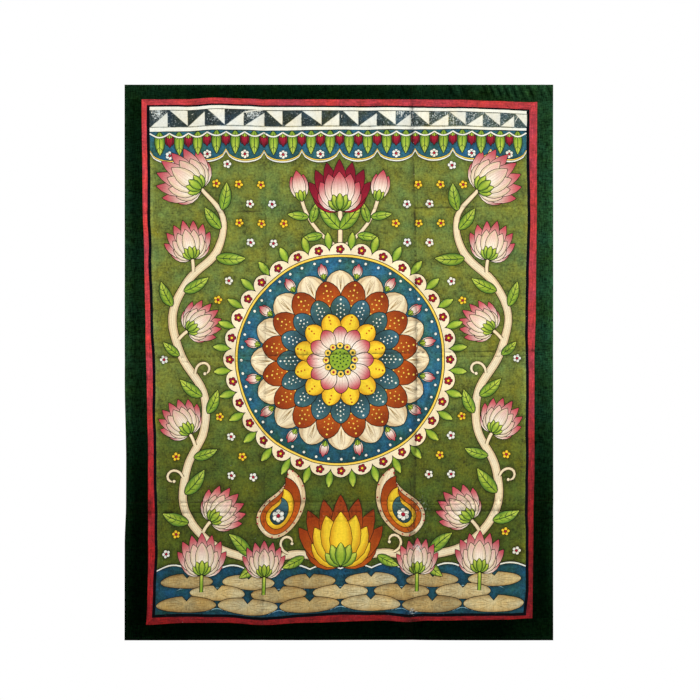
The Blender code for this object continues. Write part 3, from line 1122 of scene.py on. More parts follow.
# The water along the foot of the field, with its lotus pads.
WATER_TOP = 1.176
WATER_ARCH = 0.011
RIPPLE = 0.0785
RIPPLE_ROWS = 4
RIPPLE_START = 0.024
RIPPLE_ROW_STEP = 0.026
RIPPLE_HALF = 0.026
RIPPLE_SAG = 0.008
RIPPLE_LINE = 0.0015
RIPPLE_MARGIN = 0.030
WATER_EDGE = (("ink", 0.0), ("white", 0.0020), ("ink", 0.0056), ("blue", 0.0072))
BANK_STEPS = 8
FOOT_STEPS = 47
PAD_STEP = 0.157
PadRow = namedtuple("PadRow", "q radius height shift")
PAD_ROWS = records(
    PadRow,
    (1.210, 0.066, 0.018, 0.0), (1.239, 0.070, 0.019, 0.5), (1.269, 0.076, 0.020, 0.0),
)
PAD_RIBS = 10
PAD_NOTCH = 0.16
# The lotuses that rise from the pond on each side of its middle: how far out, and how large.
POND_LOTUSES = ((0.196, 0.084), (0.355, 0.098))
POND_STALK = 0.046
POND_STALK_FOOT = 1.238
BIG_LOTUS_FOOT = (0.0, 1.172)
BIG_LOTUS_SIZE = 0.168


def water(art):
    """A pond with a scalloped edge, ripples and pads."""
    count = round(2 * FIELD_HALF / RIPPLE)
    across, arch = arches(count, 8)
    fall = np.linspace(WATER_TOP, FIELD_END, BANK_STEPS + 1)[1:]
    foot = np.linspace(FIELD_HALF, -FIELD_HALF, FOOT_STEPS + 1)[1:-1]
    right = np.full(BANK_STEPS, FIELD_HALF)
    p = np.concatenate((right, foot, -right))
    bank = np.column_stack((p, np.concatenate((fall, np.full_like(foot, FIELD_END), fall[::-1]))))
    for paint, drop in WATER_EDGE:
        top = np.column_stack((across, WATER_TOP - WATER_ARCH * arch + drop))
        art.add(paint, np.vstack((top, bank)), soaks=paint == "blue")
    share = np.linspace(-1, 1, 7)
    for row in range(RIPPLE_ROWS):
        q = WATER_TOP + RIPPLE_START + RIPPLE_ROW_STEP * row
        for k in range(count):
            p = -FIELD_HALF + RIPPLE * (k + 0.5 + 0.5 * (row % 2))
            if p > FIELD_HALF - RIPPLE_MARGIN:
                continue
            for grow in (1.0, 0.6):
                line = np.column_stack((p + RIPPLE_HALF * grow * share, q + RIPPLE_SAG * grow * share**2))
                art.stroke("pale_blue", line, RIPPLE_LINE, taper=(0.3, 0.1))
    pads = int(2 * FIELD_HALF / PAD_STEP) + 1
    for row in PAD_ROWS:
        for k in range(pads):
            p = (k - (pads - 1) / 2 + row.shift) * PAD_STEP
            if abs(p) < FIELD_HALF - row.radius * 0.96:
                paint = "sand" if (k + int(row.shift * 2)) % 2 else "tan"
                pad(art, np.array((p, row.q)), row.radius, row.height, paint)


def pad(art, at, radius, height, paint):
    """A lotus pad on the water: a flat round leaf with a notch and ribs."""
    turns = np.linspace(PAD_NOTCH, math.tau - PAD_NOTCH, 32)
    rim = np.column_stack((radius * np.sin(turns), -height * np.cos(turns)))
    loop = np.vstack((rim, ((0.0, -height * 0.35),))) + at
    across = np.linspace(-0.98, 0.98, 15)
    axis = np.column_stack((radius * across, np.zeros(15))) + at
    art.outlined(paint, loop, 0.0016, axis, height * np.sqrt(1 - across**2), soaks=True)
    share = np.array((0.18, 0.5, 0.84))
    for k in range(1, PAD_RIBS):
        turn = math.tau * k / PAD_RIBS
        rib = np.column_stack((radius * np.sin(turn) * share, -height * np.cos(turn) * share))
        art.stroke("tan_line", rib + at, 0.0012)


def pond_flowers(art):
    for p, size in POND_LOTUSES:
        line = swept(np.array((p, POND_STALK_FOOT)), 0.0, POND_STALK, steps=3)
        lotus(art, stalk(art, line, 0.0075, ink=0.0014, paint="lime"), 0.0, size)


SPRIG_STEP = 0.056
SPRIG_ROOM = 0.0165
SPRIG_ROWS = 21
SPRIG_COLUMNS = 9
SPRIG_TOP = 0.165
SPRIG_ROW_SHARE = 0.87
SPRIG_MARGIN = 0.020
SPRIG_SHORE = 0.030


def sprigs(art, first):
    """Small flowers on what is left of the ground, clear of every shape since the first."""
    boxes = art.boxes(first)
    for row in range(SPRIG_ROWS):
        paint = "yellow" if row % 2 else "white"
        for k in range(SPRIG_COLUMNS):
            q = SPRIG_TOP + SPRIG_STEP * SPRIG_ROW_SHARE * row
            at = np.array((SPRIG_STEP * (k + 0.5 * (row % 2)), q))
            if at[0] > FIELD_HALF - SPRIG_MARGIN or at[1] > WATER_TOP - SPRIG_SHORE:
                continue
            for art.side in (1.0, -1.0) if at[0] > 0 else (1.0,):
                if art.is_clear(at, SPRIG_ROOM, boxes):
                    rosette(art, at, SMALL_FLOWER, 5, paint, "crimson", start=0.2 * k)
    art.side = 1.0


def painted_design():
    art = Painting()
    paint_borders(art)
    field = len(art.shapes)
    water(art)
    canopy(art)
    for art.side in (1.0, -1.0):
        vine(art)
        paisley(art, PAISLEY_FOOT, PAISLEY_TURN, PAISLEY_SIZE)
        pond_flowers(art)
    art.side = 1.0
    lotus(art, BIG_LOTUS_FOOT, 0.0, BIG_LOTUS_SIZE, back="rust", front="yellow")
    lotus_spray(art)
    medallion(art)
    toran(art)
    sprigs(art, field)
    return art


# Meshes. Each piece of cloth is one closed mesh with a front, a back and a rim. The panel's front
# has a point at each of these steps, closer rings along its rim, and close rows along its creases.
RIM_STEP = 0.0080
GRID_STEP = 0.0110
BACK_STEP = 0.0105
FRONT_RINGS = (0.0008, 0.0018, 0.0034, 0.0062)
BACK_RINGS = (0.0015, 0.0060)
FRONT_MARGIN = 0.012
BACK_MARGIN = 0.017
EDGE_MARGIN = 0.03
RING_CLEARANCE = 0.001
LINE_STEP = 0.0115
CREASE_STEP = 0.0035
LINE_ROWS = (-0.0036, -0.0018, -0.0005, 0.0006, 0.0018, 0.0034)
MERGE = 0.00002
BATCH = 4000
THINNEST = 0.0004

# The plain grounds are shaded within this reach of the side frame and of a motif.
GROUNDS = ("olive", "blue")
FRAME_REACH = 0.008
MOTIF_REACH = 0.010

HEM_WIDTH = 0.0095
HEM_FRONT = 0.00035
HEM_BACK = 0.00090
HEM_STITCH = 0.0080
HEM_GROOVE = 0.00030
HEM_GROOVE_WIDTH = 0.0009
HEM_FRONT_SLOPE = 0.0016
HEM_BACK_SLOPE = 0.0010

# Gathers in the right half of the top strip, by their places along its middle. They lean, end towards the
# seam, and carry painted highlight on their ridges and painted shade in their troughs.
Gather = namedtuple("Gather", "x rise reach")
GATHERS = records(
    Gather,
    (0.165, -0.0012, 0.0030), (0.205, 0.0007, 0.0040), (0.286, -0.0015, 0.0030),
    (0.302, 0.0014, 0.0035), (0.316, -0.0014, 0.0026), (0.345, 0.0009, 0.0045),
    (0.372, -0.0014, 0.0024), (0.380, 0.0013, 0.0026), (0.388, -0.0016, 0.0024),
    (0.397, 0.0016, 0.0028), (0.406, -0.0016, 0.0024), (0.415, 0.0013, 0.0028),
    (0.424, -0.0017, 0.0026), (0.434, 0.0018, 0.0030), (0.444, -0.0016, 0.0024),
    (0.453, 0.0014, 0.0028), (0.462, -0.0014, 0.0026), (0.474, 0.0019, 0.0036),
    (0.486, -0.0018, 0.0026), (0.498, 0.0014, 0.0034), (0.510, -0.0013, 0.0026),
    (0.522, 0.0018, 0.0038), (0.532, -0.0015, 0.0024),
)
GATHER_LEAN = 0.45
GATHER_SHARE = 0.95
GATHER_END = 0.022
# How strongly the gathers' ridges are painted paler and their troughs darker.
GATHER_SHADING = 190.0
RIB_RISE = 0.00012
RIB_FADE = 0.004
RIB_STRETCH = 0.06


def left_edge(down):
    return LEFT + inset_at(LEFT_EDGE, down)


def edge_distance(x, down):
    """How far a place lies in from the outer edge of the whole cloth."""
    return np.minimum.reduce((down, HEIGHT - down, x - left_edge(down), RIGHT - x))


def seam_distance(x, down):
    """How far a place lies from the frame of four seams."""
    inwards = np.minimum.reduce(
        (x - left_seam(down), right_seam(down) - x, down - top_seam(x), bottom_seam(x) - down)
    )
    return abs(inwards)


def front_form(x, down):
    return relief(x, down) + seam_dip(seam_distance(x, down))


ribs = Unevenness(seed=31, cell=0.0045)


def gathered(x, down):
    """The gathers where the top strip was eased on."""
    middle = top_seam(x) / 2
    rise = sum(
        gather.rise * bell(x - gather.x - GATHER_LEAN * (down - middle), gather.reach)
        for gather in GATHERS
    )
    return rise * GATHER_SHARE * eased((top_seam(x) - down) / GATHER_END)


def strip_relief(x, down):
    """The gathers, and faint ribs along the side strips."""
    past_left = eased((left_seam(down) - x) / RIB_FADE)
    past_right = eased((x - right_seam(down)) / RIB_FADE)
    beside = np.maximum(past_left, past_right)
    return gathered(x, down) + RIB_RISE * ribs(x, down * RIB_STRETCH) * beside


def hem(x, down, rise, slope):
    """The step of the folded hem along the outer edge, with the groove of its stitches."""
    edge = edge_distance(x, down)
    groove = HEM_GROOVE * bell(edge - HEM_STITCH, HEM_GROOVE_WIDTH)
    return rise * eased((HEM_WIDTH - edge) / slope + 0.5) - groove


def strip_front(x, down):
    return front_form(x, down) + strip_relief(x, down) + hem(x, down, HEM_FRONT, HEM_FRONT_SLOPE)


def strip_back(x, down):
    return relief(x, down) + strip_relief(x, down) - hem(x, down, HEM_BACK, HEM_BACK_SLOPE)


def even(start, end, step):
    """Evenly spaced values from start to end, both included."""
    return np.linspace(start, end, max(2, round(abs(end - start) / step) + 1))


def ring(distance):
    """Points round the flat panel, a distance in from its edge, in order."""
    half = SHEET_W / 2
    across, down = even(-half, half, RIM_STEP), even(0, SHEET_H, RIM_STEP)
    ends = np.ones(len(down) - 1) * half
    p = np.concatenate((across[:-1], ends, across[:0:-1], -ends))
    beyond = np.ones(len(across) - 1) * SHEET_H
    q = np.concatenate((0 * beyond, down[:-1], beyond, down[:0:-1]))
    return np.column_stack((p.clip(distance - half, half - distance), q.clip(distance, SHEET_H - distance)))


def grid(step, margin):
    half = SHEET_W / 2 - margin
    across, down = np.meshgrid(even(-half, half, step), even(margin, SHEET_H - margin, step))
    return np.column_stack((across.ravel(), down.ravel()))


def line_points():
    """Rows of points along every press line, close enough together to hold its shape."""
    down = even(EDGE_MARGIN, HEIGHT - EDGE_MARGIN, LINE_STEP)
    x = even(LEFT + EDGE_MARGIN, RIGHT - EDGE_MARGIN, LINE_STEP)
    found = []
    for row in LINE_ROWS:
        for line in UPRIGHT_LINES:
            found.append(on_sheet(upright_x(UPRIGHT_FOLDS[line.fold], down) + line.offset + row, down))
        for line in LEVEL_LINES:
            found.append(on_sheet(x, level_down(LEVEL_FOLDS[line.fold], x) + line.offset + row))
        for crease in SHORT_CREASES:
            places = sides(crease.places, CREASE_STEP)
            found.append(on_sheet(places[:, 0] + row, places[:, 1] - row))
    found = np.vstack(found)
    p, q = found.T
    margin = FRONT_RINGS[-1] + RING_CLEARANCE
    return found[(abs(p) < SHEET_W / 2 - margin) & (q > margin) & (q < SHEET_H - margin)]


def closed(start, count):
    """The edges of a closed run of points."""
    numbers = np.arange(start, start + count)
    return np.column_stack((numbers, np.roll(numbers, -1)))


def triangulated(points, edges):
    """Triangles over the points with every edge kept, and where each first point went."""
    places, _, faces, origins, _, _ = delaunay_2d_cdt(
        [Vector(point) for point in points.tolist()], edges.tolist(), [], 0, MERGE
    )
    went = np.full(len(points), -1)
    for k, origin in enumerate(origins):
        went[origin] = k
    return np.array([tuple(place) for place in places]), np.array(faces), went


def topmost(shapes, points):
    """The number of the last shape that covers each point. The first one lies under all."""
    order = np.argsort(points[:, 0])
    ordered = points[order]
    found = np.zeros(len(points), int)
    for k in range(len(shapes) - 1, 0, -1):
        loop = shapes[k].loop
        low, high = loop.min(axis=0), loop.max(axis=0)
        first, last = np.searchsorted(ordered[:, 0], (low[0], high[0]))
        level = ordered[first:last, 1]
        near = first + np.flatnonzero((found[first:last] == 0) & (level > low[1]) & (level < high[1]))
        for part in np.array_split(near, len(near) // BATCH + 1):
            if len(part):
                found[part[inside(loop, ordered[part])]] = k
    owners = np.empty_like(found)
    owners[order] = found
    return owners


def borders_between(triangles, owners):
    """The edges that have a different owner on each side."""
    edges = np.sort(np.concatenate([triangles[:, (k, (k + 1) % 3)] for k in range(3)]), axis=1)
    owner = np.tile(owners, 3)
    order = np.lexsort((edges[:, 1], edges[:, 0]))
    edges = edges[order]
    owner = owner[order]
    pairs = np.flatnonzero((edges[1:] == edges[:-1]).all(axis=1))
    return edges[pairs[owner[pairs] != owner[pairs + 1]]]


def front_triangles(shapes):
    """The panel's front, cut along the edge of every patch of paint that shows."""
    rim = ring(0.0)
    loops = [shape.loop for shape in shapes[1:]]
    starts = len(rim) + np.cumsum([0] + [len(loop) for loop in loops[:-1]])
    runs = [closed(start, len(loop)) for start, loop in zip(starts, loops)]
    edges = np.vstack((closed(0, len(rim)), *runs))
    points, triangles, _ = triangulated(np.vstack((rim, *loops)), edges)
    owners = topmost(shapes, points[triangles].mean(axis=1))
    ink = min(k for k, shape in enumerate(shapes) if shape.paint == "ink")
    same = np.array([ink if shape.paint == "ink" else k for k, shape in enumerate(shapes)])
    shown = borders_between(triangles, same[owners])
    used, edges = np.unique(shown, return_inverse=True)
    edges = np.vstack((closed(0, len(rim)), edges.reshape(-1, 2) + len(rim)))
    rings = [ring(distance) for distance in FRONT_RINGS]
    places = np.vstack((rim, points[used], *rings, grid(GRID_STEP, FRONT_MARGIN), line_points()))
    points, triangles, went = triangulated(places, edges)
    return points, triangles, went[: len(rim)], topmost(shapes, points[triangles].mean(axis=1))


def back_triangles():
    rim = ring(0.0)
    rings = [ring(distance) for distance in BACK_RINGS]
    places = np.vstack((rim, *rings, grid(BACK_STEP, BACK_MARGIN)))
    points, triangles, went = triangulated(places, closed(0, len(rim)))
    return points, triangles, went[: len(rim)]


def ground_marks(shapes, points):
    """For places on plain ground: how close they lie to the side frame, and to the nearest motif."""
    first = 1 + next(k for k, shape in enumerate(shapes) if shape.paint == "olive")
    edges = np.vstack([shape.loop for shape in shapes[first:]])
    tree = KDTree(len(edges))
    for k, (p, q) in enumerate(edges):
        tree.insert((p, q, 0), k)
    tree.balance()
    near = np.array([tree.find((p, q, 0))[2] for p, q in points])
    frame = np.exp(-abs(FIELD_HALF - abs(points[:, 0])) / FRAME_REACH)
    return np.column_stack((frame, np.exp(-near / MOTIF_REACH)))


def brush_marks(shapes, owners, triangles, points):
    """For each corner: how far it lies along its stroke and across it, and the stroke's tone."""
    marks = np.zeros((len(triangles), 3, 3))
    marks[:, :, 2] = np.array([shape.tone for shape in shapes])[owners][:, None]
    order = np.argsort(owners, kind="stable")
    starts = np.searchsorted(owners[order], np.arange(len(shapes) + 1))
    for k, shape in enumerate(shapes):
        rows = order[starts[k] : starts[k + 1]]
        if shape.axis is not None and len(rows):
            corners = points[triangles[rows]].reshape(-1, 2)
            marks[rows, :, :2] = along_and_across(shape, corners).reshape(-1, 3, 2)
    bare = [k for k, shape in enumerate(shapes) if shape.axis is None and shape.paint in GROUNDS]
    rows = np.flatnonzero(np.isin(owners, bare))
    used, where = np.unique(triangles[rows], return_inverse=True)
    marks[rows, :, :2] = ground_marks(shapes, points[used])[where.reshape(-1, 3)]
    return marks


def along_and_across(shape, points):
    """Places in a stroke, 0 to 1 along it, and -1 to 1 from one side to the other."""
    start = shape.axis[:-1]
    run = shape.axis[1:] - start
    long = np.maximum((run**2).sum(axis=1), 1e-12)
    off = points[:, None] - start
    share = np.clip((off * run).sum(axis=2) / long, 0, 1)
    nearest = np.argmin(((off - share[:, :, None] * run) ** 2).sum(axis=2), axis=1)
    rows = np.arange(len(points))
    shares = shares_of(shape.axis)
    along = shares[nearest] + share[rows, nearest] * (shares[nearest + 1] - shares[nearest])
    aside = run[nearest, 0] * off[rows, nearest, 1] - run[nearest, 1] * off[rows, nearest, 0]
    aside /= np.sqrt(long[nearest])
    half = np.maximum(np.interp(along, shares, shape.half), THINNEST)
    return np.column_stack((along, np.clip(aside / half, -1, 1)))


def panel_places(flat):
    """Points of the flat panel as x and down, half a seam gap inside its seams."""
    shrink = np.array((1 - SEAM_GAP / SHEET_W, 1 - SEAM_GAP / SHEET_H))
    return on_cloth(flat * shrink + np.array((0, SEAM_GAP / 2)))


def rim_triangles(front_rim, back_rim):
    front_next, back_next = np.roll(front_rim, -1), np.roll(back_rim, -1)
    first = np.column_stack((front_rim, front_next, back_next))
    return np.vstack((first, np.column_stack((front_rim, back_next, back_rim))))


def outward(x, down):
    """Normals for the rim, which look away along the plane of the cloth."""
    ahead_x, ahead_down = (np.roll(run, -1) - np.roll(run, 1) for run in (x, down))
    return unit(np.column_stack((ahead_down, np.zeros_like(x), ahead_x)))


# How much of the dirt and painted shade, of the painted highlight lines and of the rubbing the back and the
# strips have, and how far the paint spreads as it soaks through.
BACK_WEAR_AND_SHADE = (0.45, 1.0, 0.0)
STRIP_WEAR_AND_SHADE = (0.25, 1.0, 1.0)
SOAK_SPREAD = 0.0065

# How wide the front, the back and the rim lie on the map for baked colour.
BAKE_FRONT = (0.004, 0.796)
BAKE_BACK = (0.804, 0.996)
BAKE_RIM = (0.798, 0.802)


def in_scene(name, data):
    """A new object in the scene that shows a mesh, a light or a camera."""
    thing = bpy.data.objects.new(name, data)
    bpy.context.scene.collection.objects.link(thing)
    return thing


class Cloth:
    """One closed sheet of cloth: its front, its back and the rim that joins them."""

    def __init__(self, name, front, back, rims, forms, sink=0.0):
        (front_places, front_faces), (back_places, back_faces) = front, back
        front_form, back_form = forms
        count = len(front_places)
        x, down = np.vstack((front_places, back_places)).T
        self.count = count
        self.x, self.down = x, down
        before, behind = (x[:count], down[:count]), (x[count:], down[count:])
        front_y = sink - front_form(*before) - THICKNESS / 2
        y = np.concatenate((front_y, -back_form(*behind) + THICKNESS / 2))
        front_rim, back_rim = rims[0], rims[1] + count
        edge = rim_triangles(front_rim, back_rim)
        faces = np.vstack((front_faces[:, ::-1], back_faces + count, edge))
        corner_normals = np.vstack((normals(front_form, *before), -normals(back_form, *behind)))[faces]
        looks_out = np.zeros((len(x), 3))
        looks_out[front_rim] = looks_out[back_rim] = outward(x[front_rim], down[front_rim])
        corner_normals[-len(edge) :] = looks_out[edge]
        self.sides = (len(front_faces), len(back_faces), len(edge))
        self.faces = faces
        self.mesh = bpy.data.meshes.new(name)
        self.mesh.from_pydata(np.column_stack((x, y, -down)), (), faces)
        self.mesh.shade_smooth()
        self.lay_out(front_rim, back_rim)
        self.mesh.normals_split_custom_set(corner_normals.reshape(-1, 3).tolist())
        self.piece = in_scene(name, self.mesh)

    def lay_out(self, front_rim, back_rim):
        """The map for baked colour: the front large, the back beside it, the rim between them."""
        across, along = ((at - at.min()) / (at.max() - at.min()) for at in (self.x, self.down))
        if np.ptp(self.down) <= np.ptp(self.x):
            across, along = along, across
        spans = np.where(np.arange(len(across)) < self.count, 0, 1)
        starts, ends = np.array((BAKE_FRONT, BAKE_BACK))[spans].T
        flat = np.column_stack((starts + (ends - starts) * across, 0.998 - 0.996 * along))
        corners = flat[self.faces]
        share = np.linspace(0.002, 0.998, len(front_rim) + 1)
        here, after = share[:-1], share[1:]
        low_side, high_side = np.full_like(here, BAKE_RIM[0]), np.full_like(here, BAKE_RIM[1])
        first = np.stack((low_side, here, low_side, after, high_side, after), axis=1)
        second = np.stack((low_side, here, high_side, after, high_side, here), axis=1)
        corners[-self.sides[2] :] = np.vstack((first, second)).reshape(-1, 3, 2)
        self.mesh.uv_layers.new(name="OFBake").data.foreach_set("uv", corners.ravel())

    def mark(self, name, values, domain="POINT", kind="FLOAT_VECTOR"):
        """Adds an attribute that the materials read."""
        field = {"FLOAT": "value", "FLOAT_VECTOR": "vector", "FLOAT_COLOR": "color"}[kind]
        layer = self.mesh.attributes.new(name, kind, domain)
        layer.data.foreach_set(field, np.asarray(values, float).ravel())

    def dress(self, materials, numbers):
        """Gives each face its material by number."""
        for material in materials:
            self.mesh.materials.append(material)
        self.mesh.polygons.foreach_set("material_index", numbers)


def painted_panel(art, paints, bare_cotton):
    shapes = list(art.by_hand())
    points, triangles, rim, owners = front_triangles(shapes)
    back_points, back_faces, back_rim = back_triangles()
    front = (np.column_stack(panel_places(points)), triangles)
    back = (np.column_stack(panel_places(back_points)), back_faces)
    cloth = Cloth("panel", front, back, (rim, back_rim), (front_form, relief))
    # Dirt and painted shade, painted highlights and rubbed paint, with the back's own share of each.
    worn_and_shaded = wear_and_shade(cloth.x, cloth.down)
    worn_and_shaded[cloth.count :] *= BACK_WEAR_AND_SHADE
    cloth.mark("WearAndShade", worn_and_shaded)
    marks = np.zeros((len(cloth.faces), 3, 3))
    marks[: len(triangles)] = brush_marks(shapes, owners, triangles, points)[:, ::-1]
    cloth.mark("Brush", marks, domain="CORNER")
    soaking = [shapes[0]] + [shape for shape in shapes if shape.soaks]
    colours = np.array([PAINTS[shape.paint].base for shape in soaking])
    soaked = [colours[topmost(soaking, back_points + shift)] for shift in disc((0, 0), SOAK_SPREAD, 7)]
    soak = np.ones((len(cloth.x), 4))
    soak[cloth.count :, :3] = np.mean(soaked, axis=0)
    cloth.mark("Soak", soak, kind="FLOAT_COLOR")
    names = list(paints)
    number = np.array([names.index(shape.paint) for shape in shapes])
    edges = np.full(cloth.sides[2], names.index("red"))
    bare = np.full(cloth.sides[1], len(names))
    cloth.dress([*paints.values(), bare_cotton], np.concatenate((number[owners], bare, edges)))
    return cloth.piece


# The strips are grids: rows close together along the hem and the seam, and even between them. At
# the seam each strip turns down into the gap, and its allowance runs on behind the panel. The
# allowances of the top and bottom strips pass behind those of the side strips.
HEM_ROWS = (0.0, 0.0006, 0.0016, 0.0034, 0.0054, 0.0068, 0.0076, 0.0084, 0.0092, 0.0102, 0.0116)
SEAM_ROWS = (0.0, 0.0007, 0.0016, 0.0030, 0.0055, 0.0098, 0.0106, 0.0116)
ALLOWANCE_ROWS = (0.00005, 0.0012, 0.0060, 0.0110)
ALLOWANCE_WIDTH = ALLOWANCE_ROWS[-1]
ALLOWANCE_THICKNESS = 0.0005
ALLOWANCE_STEP = 0.0010
SIDE_DEPTH = 0.0002
END_DEPTH = 0.00125
MIDDLE_STEPS = 4
SIDE_STEP = 0.0040
STRIP_LINE_ROWS = (-0.0032, -0.0018, -0.0008, 0.0002, 0.0012, 0.0022, 0.0034)
END_STEP = 0.0022
CLOSEST_ROWS = 0.0003

# How pale the green is along each strip, beside its hem and beside its seam: its fading, with painted shade
# that darkens it beside the seam.
Fade = namedtuple("Fade", "along hem seam")
FADES_AND_SHADING = {
    "top": records(
        Fade,
        (0.00, 0.22, 0.20), (0.19, 0.20, 0.04), (0.60, 0.14, 0.04), (0.87, 0.26, 0.12),
        (1.00, 0.56, 0.26), (1.08, 0.62, 0.34),
    ),
    "bottom": records(
        Fade,
        (0.00, 0.12, 0.12), (0.15, 0.03, 0.02), (0.95, 0.04, 0.03), (1.08, 0.30, 0.30),
    ),
    "left": records(
        Fade,
        (0.00, 0.12, 0.03), (0.25, 0.28, 0.06), (0.45, 0.50, 0.12), (0.85, 0.56, 0.12),
        (1.10, 0.30, 0.04), (1.40, 0.09, 0.02),
    ),
    "right": records(
        Fade,
        (0.00, 0.80, 0.45), (0.35, 1.00, 0.55), (0.60, 1.00, 0.45), (0.85, 0.62, 0.34),
        (1.10, 0.38, 0.16), (1.40, 0.30, 0.10),
    ),
}


def cross_rows(width):
    """Distances from the outer edge of a strip, for each of its widths along its length."""
    width = np.atleast_1d(width)[:, None]
    near = np.array(HEM_ROWS) * np.ones_like(width)
    far = width - np.array(SEAM_ROWS[::-1])
    share = np.arange(1, MIDDLE_STEPS) / MIDDLE_STEPS
    middle = near[:, -1:] + (far[:, :1] - near[:, -1:]) * share
    return np.hstack((near, middle, far, width + np.array(ALLOWANCE_ROWS)))


def faded_and_shaded(side, length_wise, share):
    """How pale a strip is at places along it, and across it from its hem to its seam, where painted shade
    darkens it.
    """
    along, by_hem, by_seam = np.array(FADES_AND_SHADING[side]).T
    by_hem = np.interp(length_wise, along, by_hem)
    return by_hem + (np.interp(length_wise, along, by_seam) - by_hem) * eased(share * 2)


def side_rows(outer, seam, start, end):
    """Shares of a side strip's length: even, and closer together along its creases."""
    x = (outer(HEIGHT / 2) + seam(HEIGHT / 2)) / 2
    folds = np.array([level_down(LEVEL_FOLDS[line.fold], x) + line.offset for line in LEVEL_LINES])
    first, last = start(x), end(x)
    close = ((folds[:, None] + np.array(STRIP_LINE_ROWS)).ravel() - first) / (last - first)
    along = np.unique(np.concatenate((even(0, 1, SIDE_STEP / HEIGHT), close)))
    along = along[np.diff(along, prepend=-1.0) > CLOSEST_ROWS]
    along[-1] = 1.0
    return along


def end_rows():
    """Shares of the top or bottom strip's length: close together at its hems, and even between."""
    close = np.array(HEM_ROWS) / WIDTH
    middle = even(close[-1], 1 - close[-1], END_STEP / WIDTH)[1:-1]
    return np.concatenate((close, middle, 1 - close[::-1]))


def strip(side, outer, seam, ends, upright, material):
    """A sewn strip between its outer edge and its seam, which are functions along its length."""
    start, end = ends
    length = HEIGHT if upright else WIDTH
    along = side_rows(outer, seam, start, end) if upright else end_rows()
    nominal = along * length + (0 if upright else LEFT)
    width = abs(seam(nominal) - outer(nominal))
    share = cross_rows(width) / width[:, None]
    along = np.broadcast_to(along[:, None], share.shape)
    across = outer(nominal)[:, None] + 0 * share
    length_wise = nominal[:, None] + 0 * share
    for _ in range(6):
        across = outer(length_wise) * (1 - share) + seam(length_wise) * share
        length_wise = start(across) * (1 - along) + end(across) * along
    x, down = (across, length_wise) if upright else (length_wise, across)
    places = np.column_stack((x.ravel(), down.ravel()))
    faces, rim = grid_faces(places, x.shape)
    depth = SIDE_DEPTH if upright else END_DEPTH
    facing = 1 if outer(0.0) < seam(0.0) else -1

    def back(x, down):
        here, beside = (x, down) if upright else (down, x)
        beyond = (seam(beside) - here) * facing
        ridge = eased((ALLOWANCE_WIDTH - beyond) / ALLOWANCE_STEP + 0.5)
        return strip_back(x, down) - (depth + ALLOWANCE_THICKNESS) * ridge

    turned = THICKNESS + depth + strip_front(x, down) - relief(x, down)
    sink = np.where(share > 1 + 1e-6, turned, 0).ravel()
    face = (places, faces)
    cloth = Cloth(f"strip_{side}", face, face, (rim, rim), (strip_front, back), sink)
    # Dirt and painted shade and painted highlights along the creases, with rubbing, in the strips' share.
    cloth.mark("WearAndShade", wear_and_shade(cloth.x, cloth.down) * STRIP_WEAR_AND_SHADE)
    # Fading and painted shade beside the seam, with painted light and shade on the gathers.
    shade = faded_and_shaded(side, length_wise if upright else length_wise - LEFT, share).ravel()
    shade = np.maximum(shade + GATHER_SHADING * gathered(*places.T), 0)
    cloth.mark("Fade", np.concatenate((shade, shade)), kind="FLOAT")
    cloth.dress([material], np.zeros(len(cloth.faces), int))
    return cloth.piece


def grid_faces(places, size):
    """Triangles over a grid of points, and the points round its edge, both clockwise from the front."""
    number = np.arange(size[0] * size[1]).reshape(size)
    a, b, c, d = number[:-1, :-1], number[1:, :-1], number[1:, 1:], number[:-1, 1:]
    halves = ((a, b, c), (a, c, d))
    faces = np.vstack([np.column_stack([part.ravel() for part in half]) for half in halves])
    rim = np.concatenate((number[:-1, 0], number[-1, :-1], number[:0:-1, -1], number[0, :0:-1]))
    first, second = places[faces[0, 1:]] - places[faces[0, 0]]
    if first[0] * second[1] < first[1] * second[0]:
        return faces[:, ::-1], rim[::-1]
    return faces, rim


def seamed(line, side):
    """A seam line moved over by half the gap that it leaves between two cloths."""
    return lambda at: line(at) + side * SEAM_GAP / 2


def fixed(value):
    return lambda at: np.full_like(at, value)


def strips(material):
    """The four sewn strips, by the nodes that they stand for."""
    across = (left_edge, fixed(RIGHT))
    between = (seamed(top_seam, 1), seamed(bottom_seam, -1))
    made = (
        ("top", fixed(0.0), seamed(top_seam, -1), across, False),
        ("bottom", fixed(HEIGHT), seamed(bottom_seam, 1), across, False),
        ("left", left_edge, seamed(left_seam, -1), between, True),
        ("right", fixed(RIGHT), seamed(right_seam, 1), between, True),
    )
    return {f"border_{row[0]}": strip(*row, material) for row in made}


# Hem stitches: short threads on the front, and on the back between them.
STITCH_STEP = 0.0050
STITCH_LENGTH = 0.0031
STITCH_RADIUS = 0.00030
STITCH_SIDES = 4
STITCH_LIFT = 0.00008
STITCH_SINK = 0.00055
STITCH_STRAY = 0.00012
STITCH_LEAN = 0.07
# The rings of points round a thread: the share of its length, and how thick it is there.
StitchRing = namedtuple("StitchRing", "share swell")
STITCH_RINGS = records(StitchRing, (0.14, 0.75), (0.5, 1.0), (0.86, 0.75))


def stitch_run(start, end):
    """Places and directions of stitches along one side of the hem, as x and down."""
    start, end = np.array(start), np.array(end)
    length = np.linalg.norm(end - start)
    count = round(length / STITCH_STEP)
    share = (np.arange(count) + 0.5) / count
    return start + (end - start) * share[:, None], np.broadcast_to((end - start) / length, (count, 2))


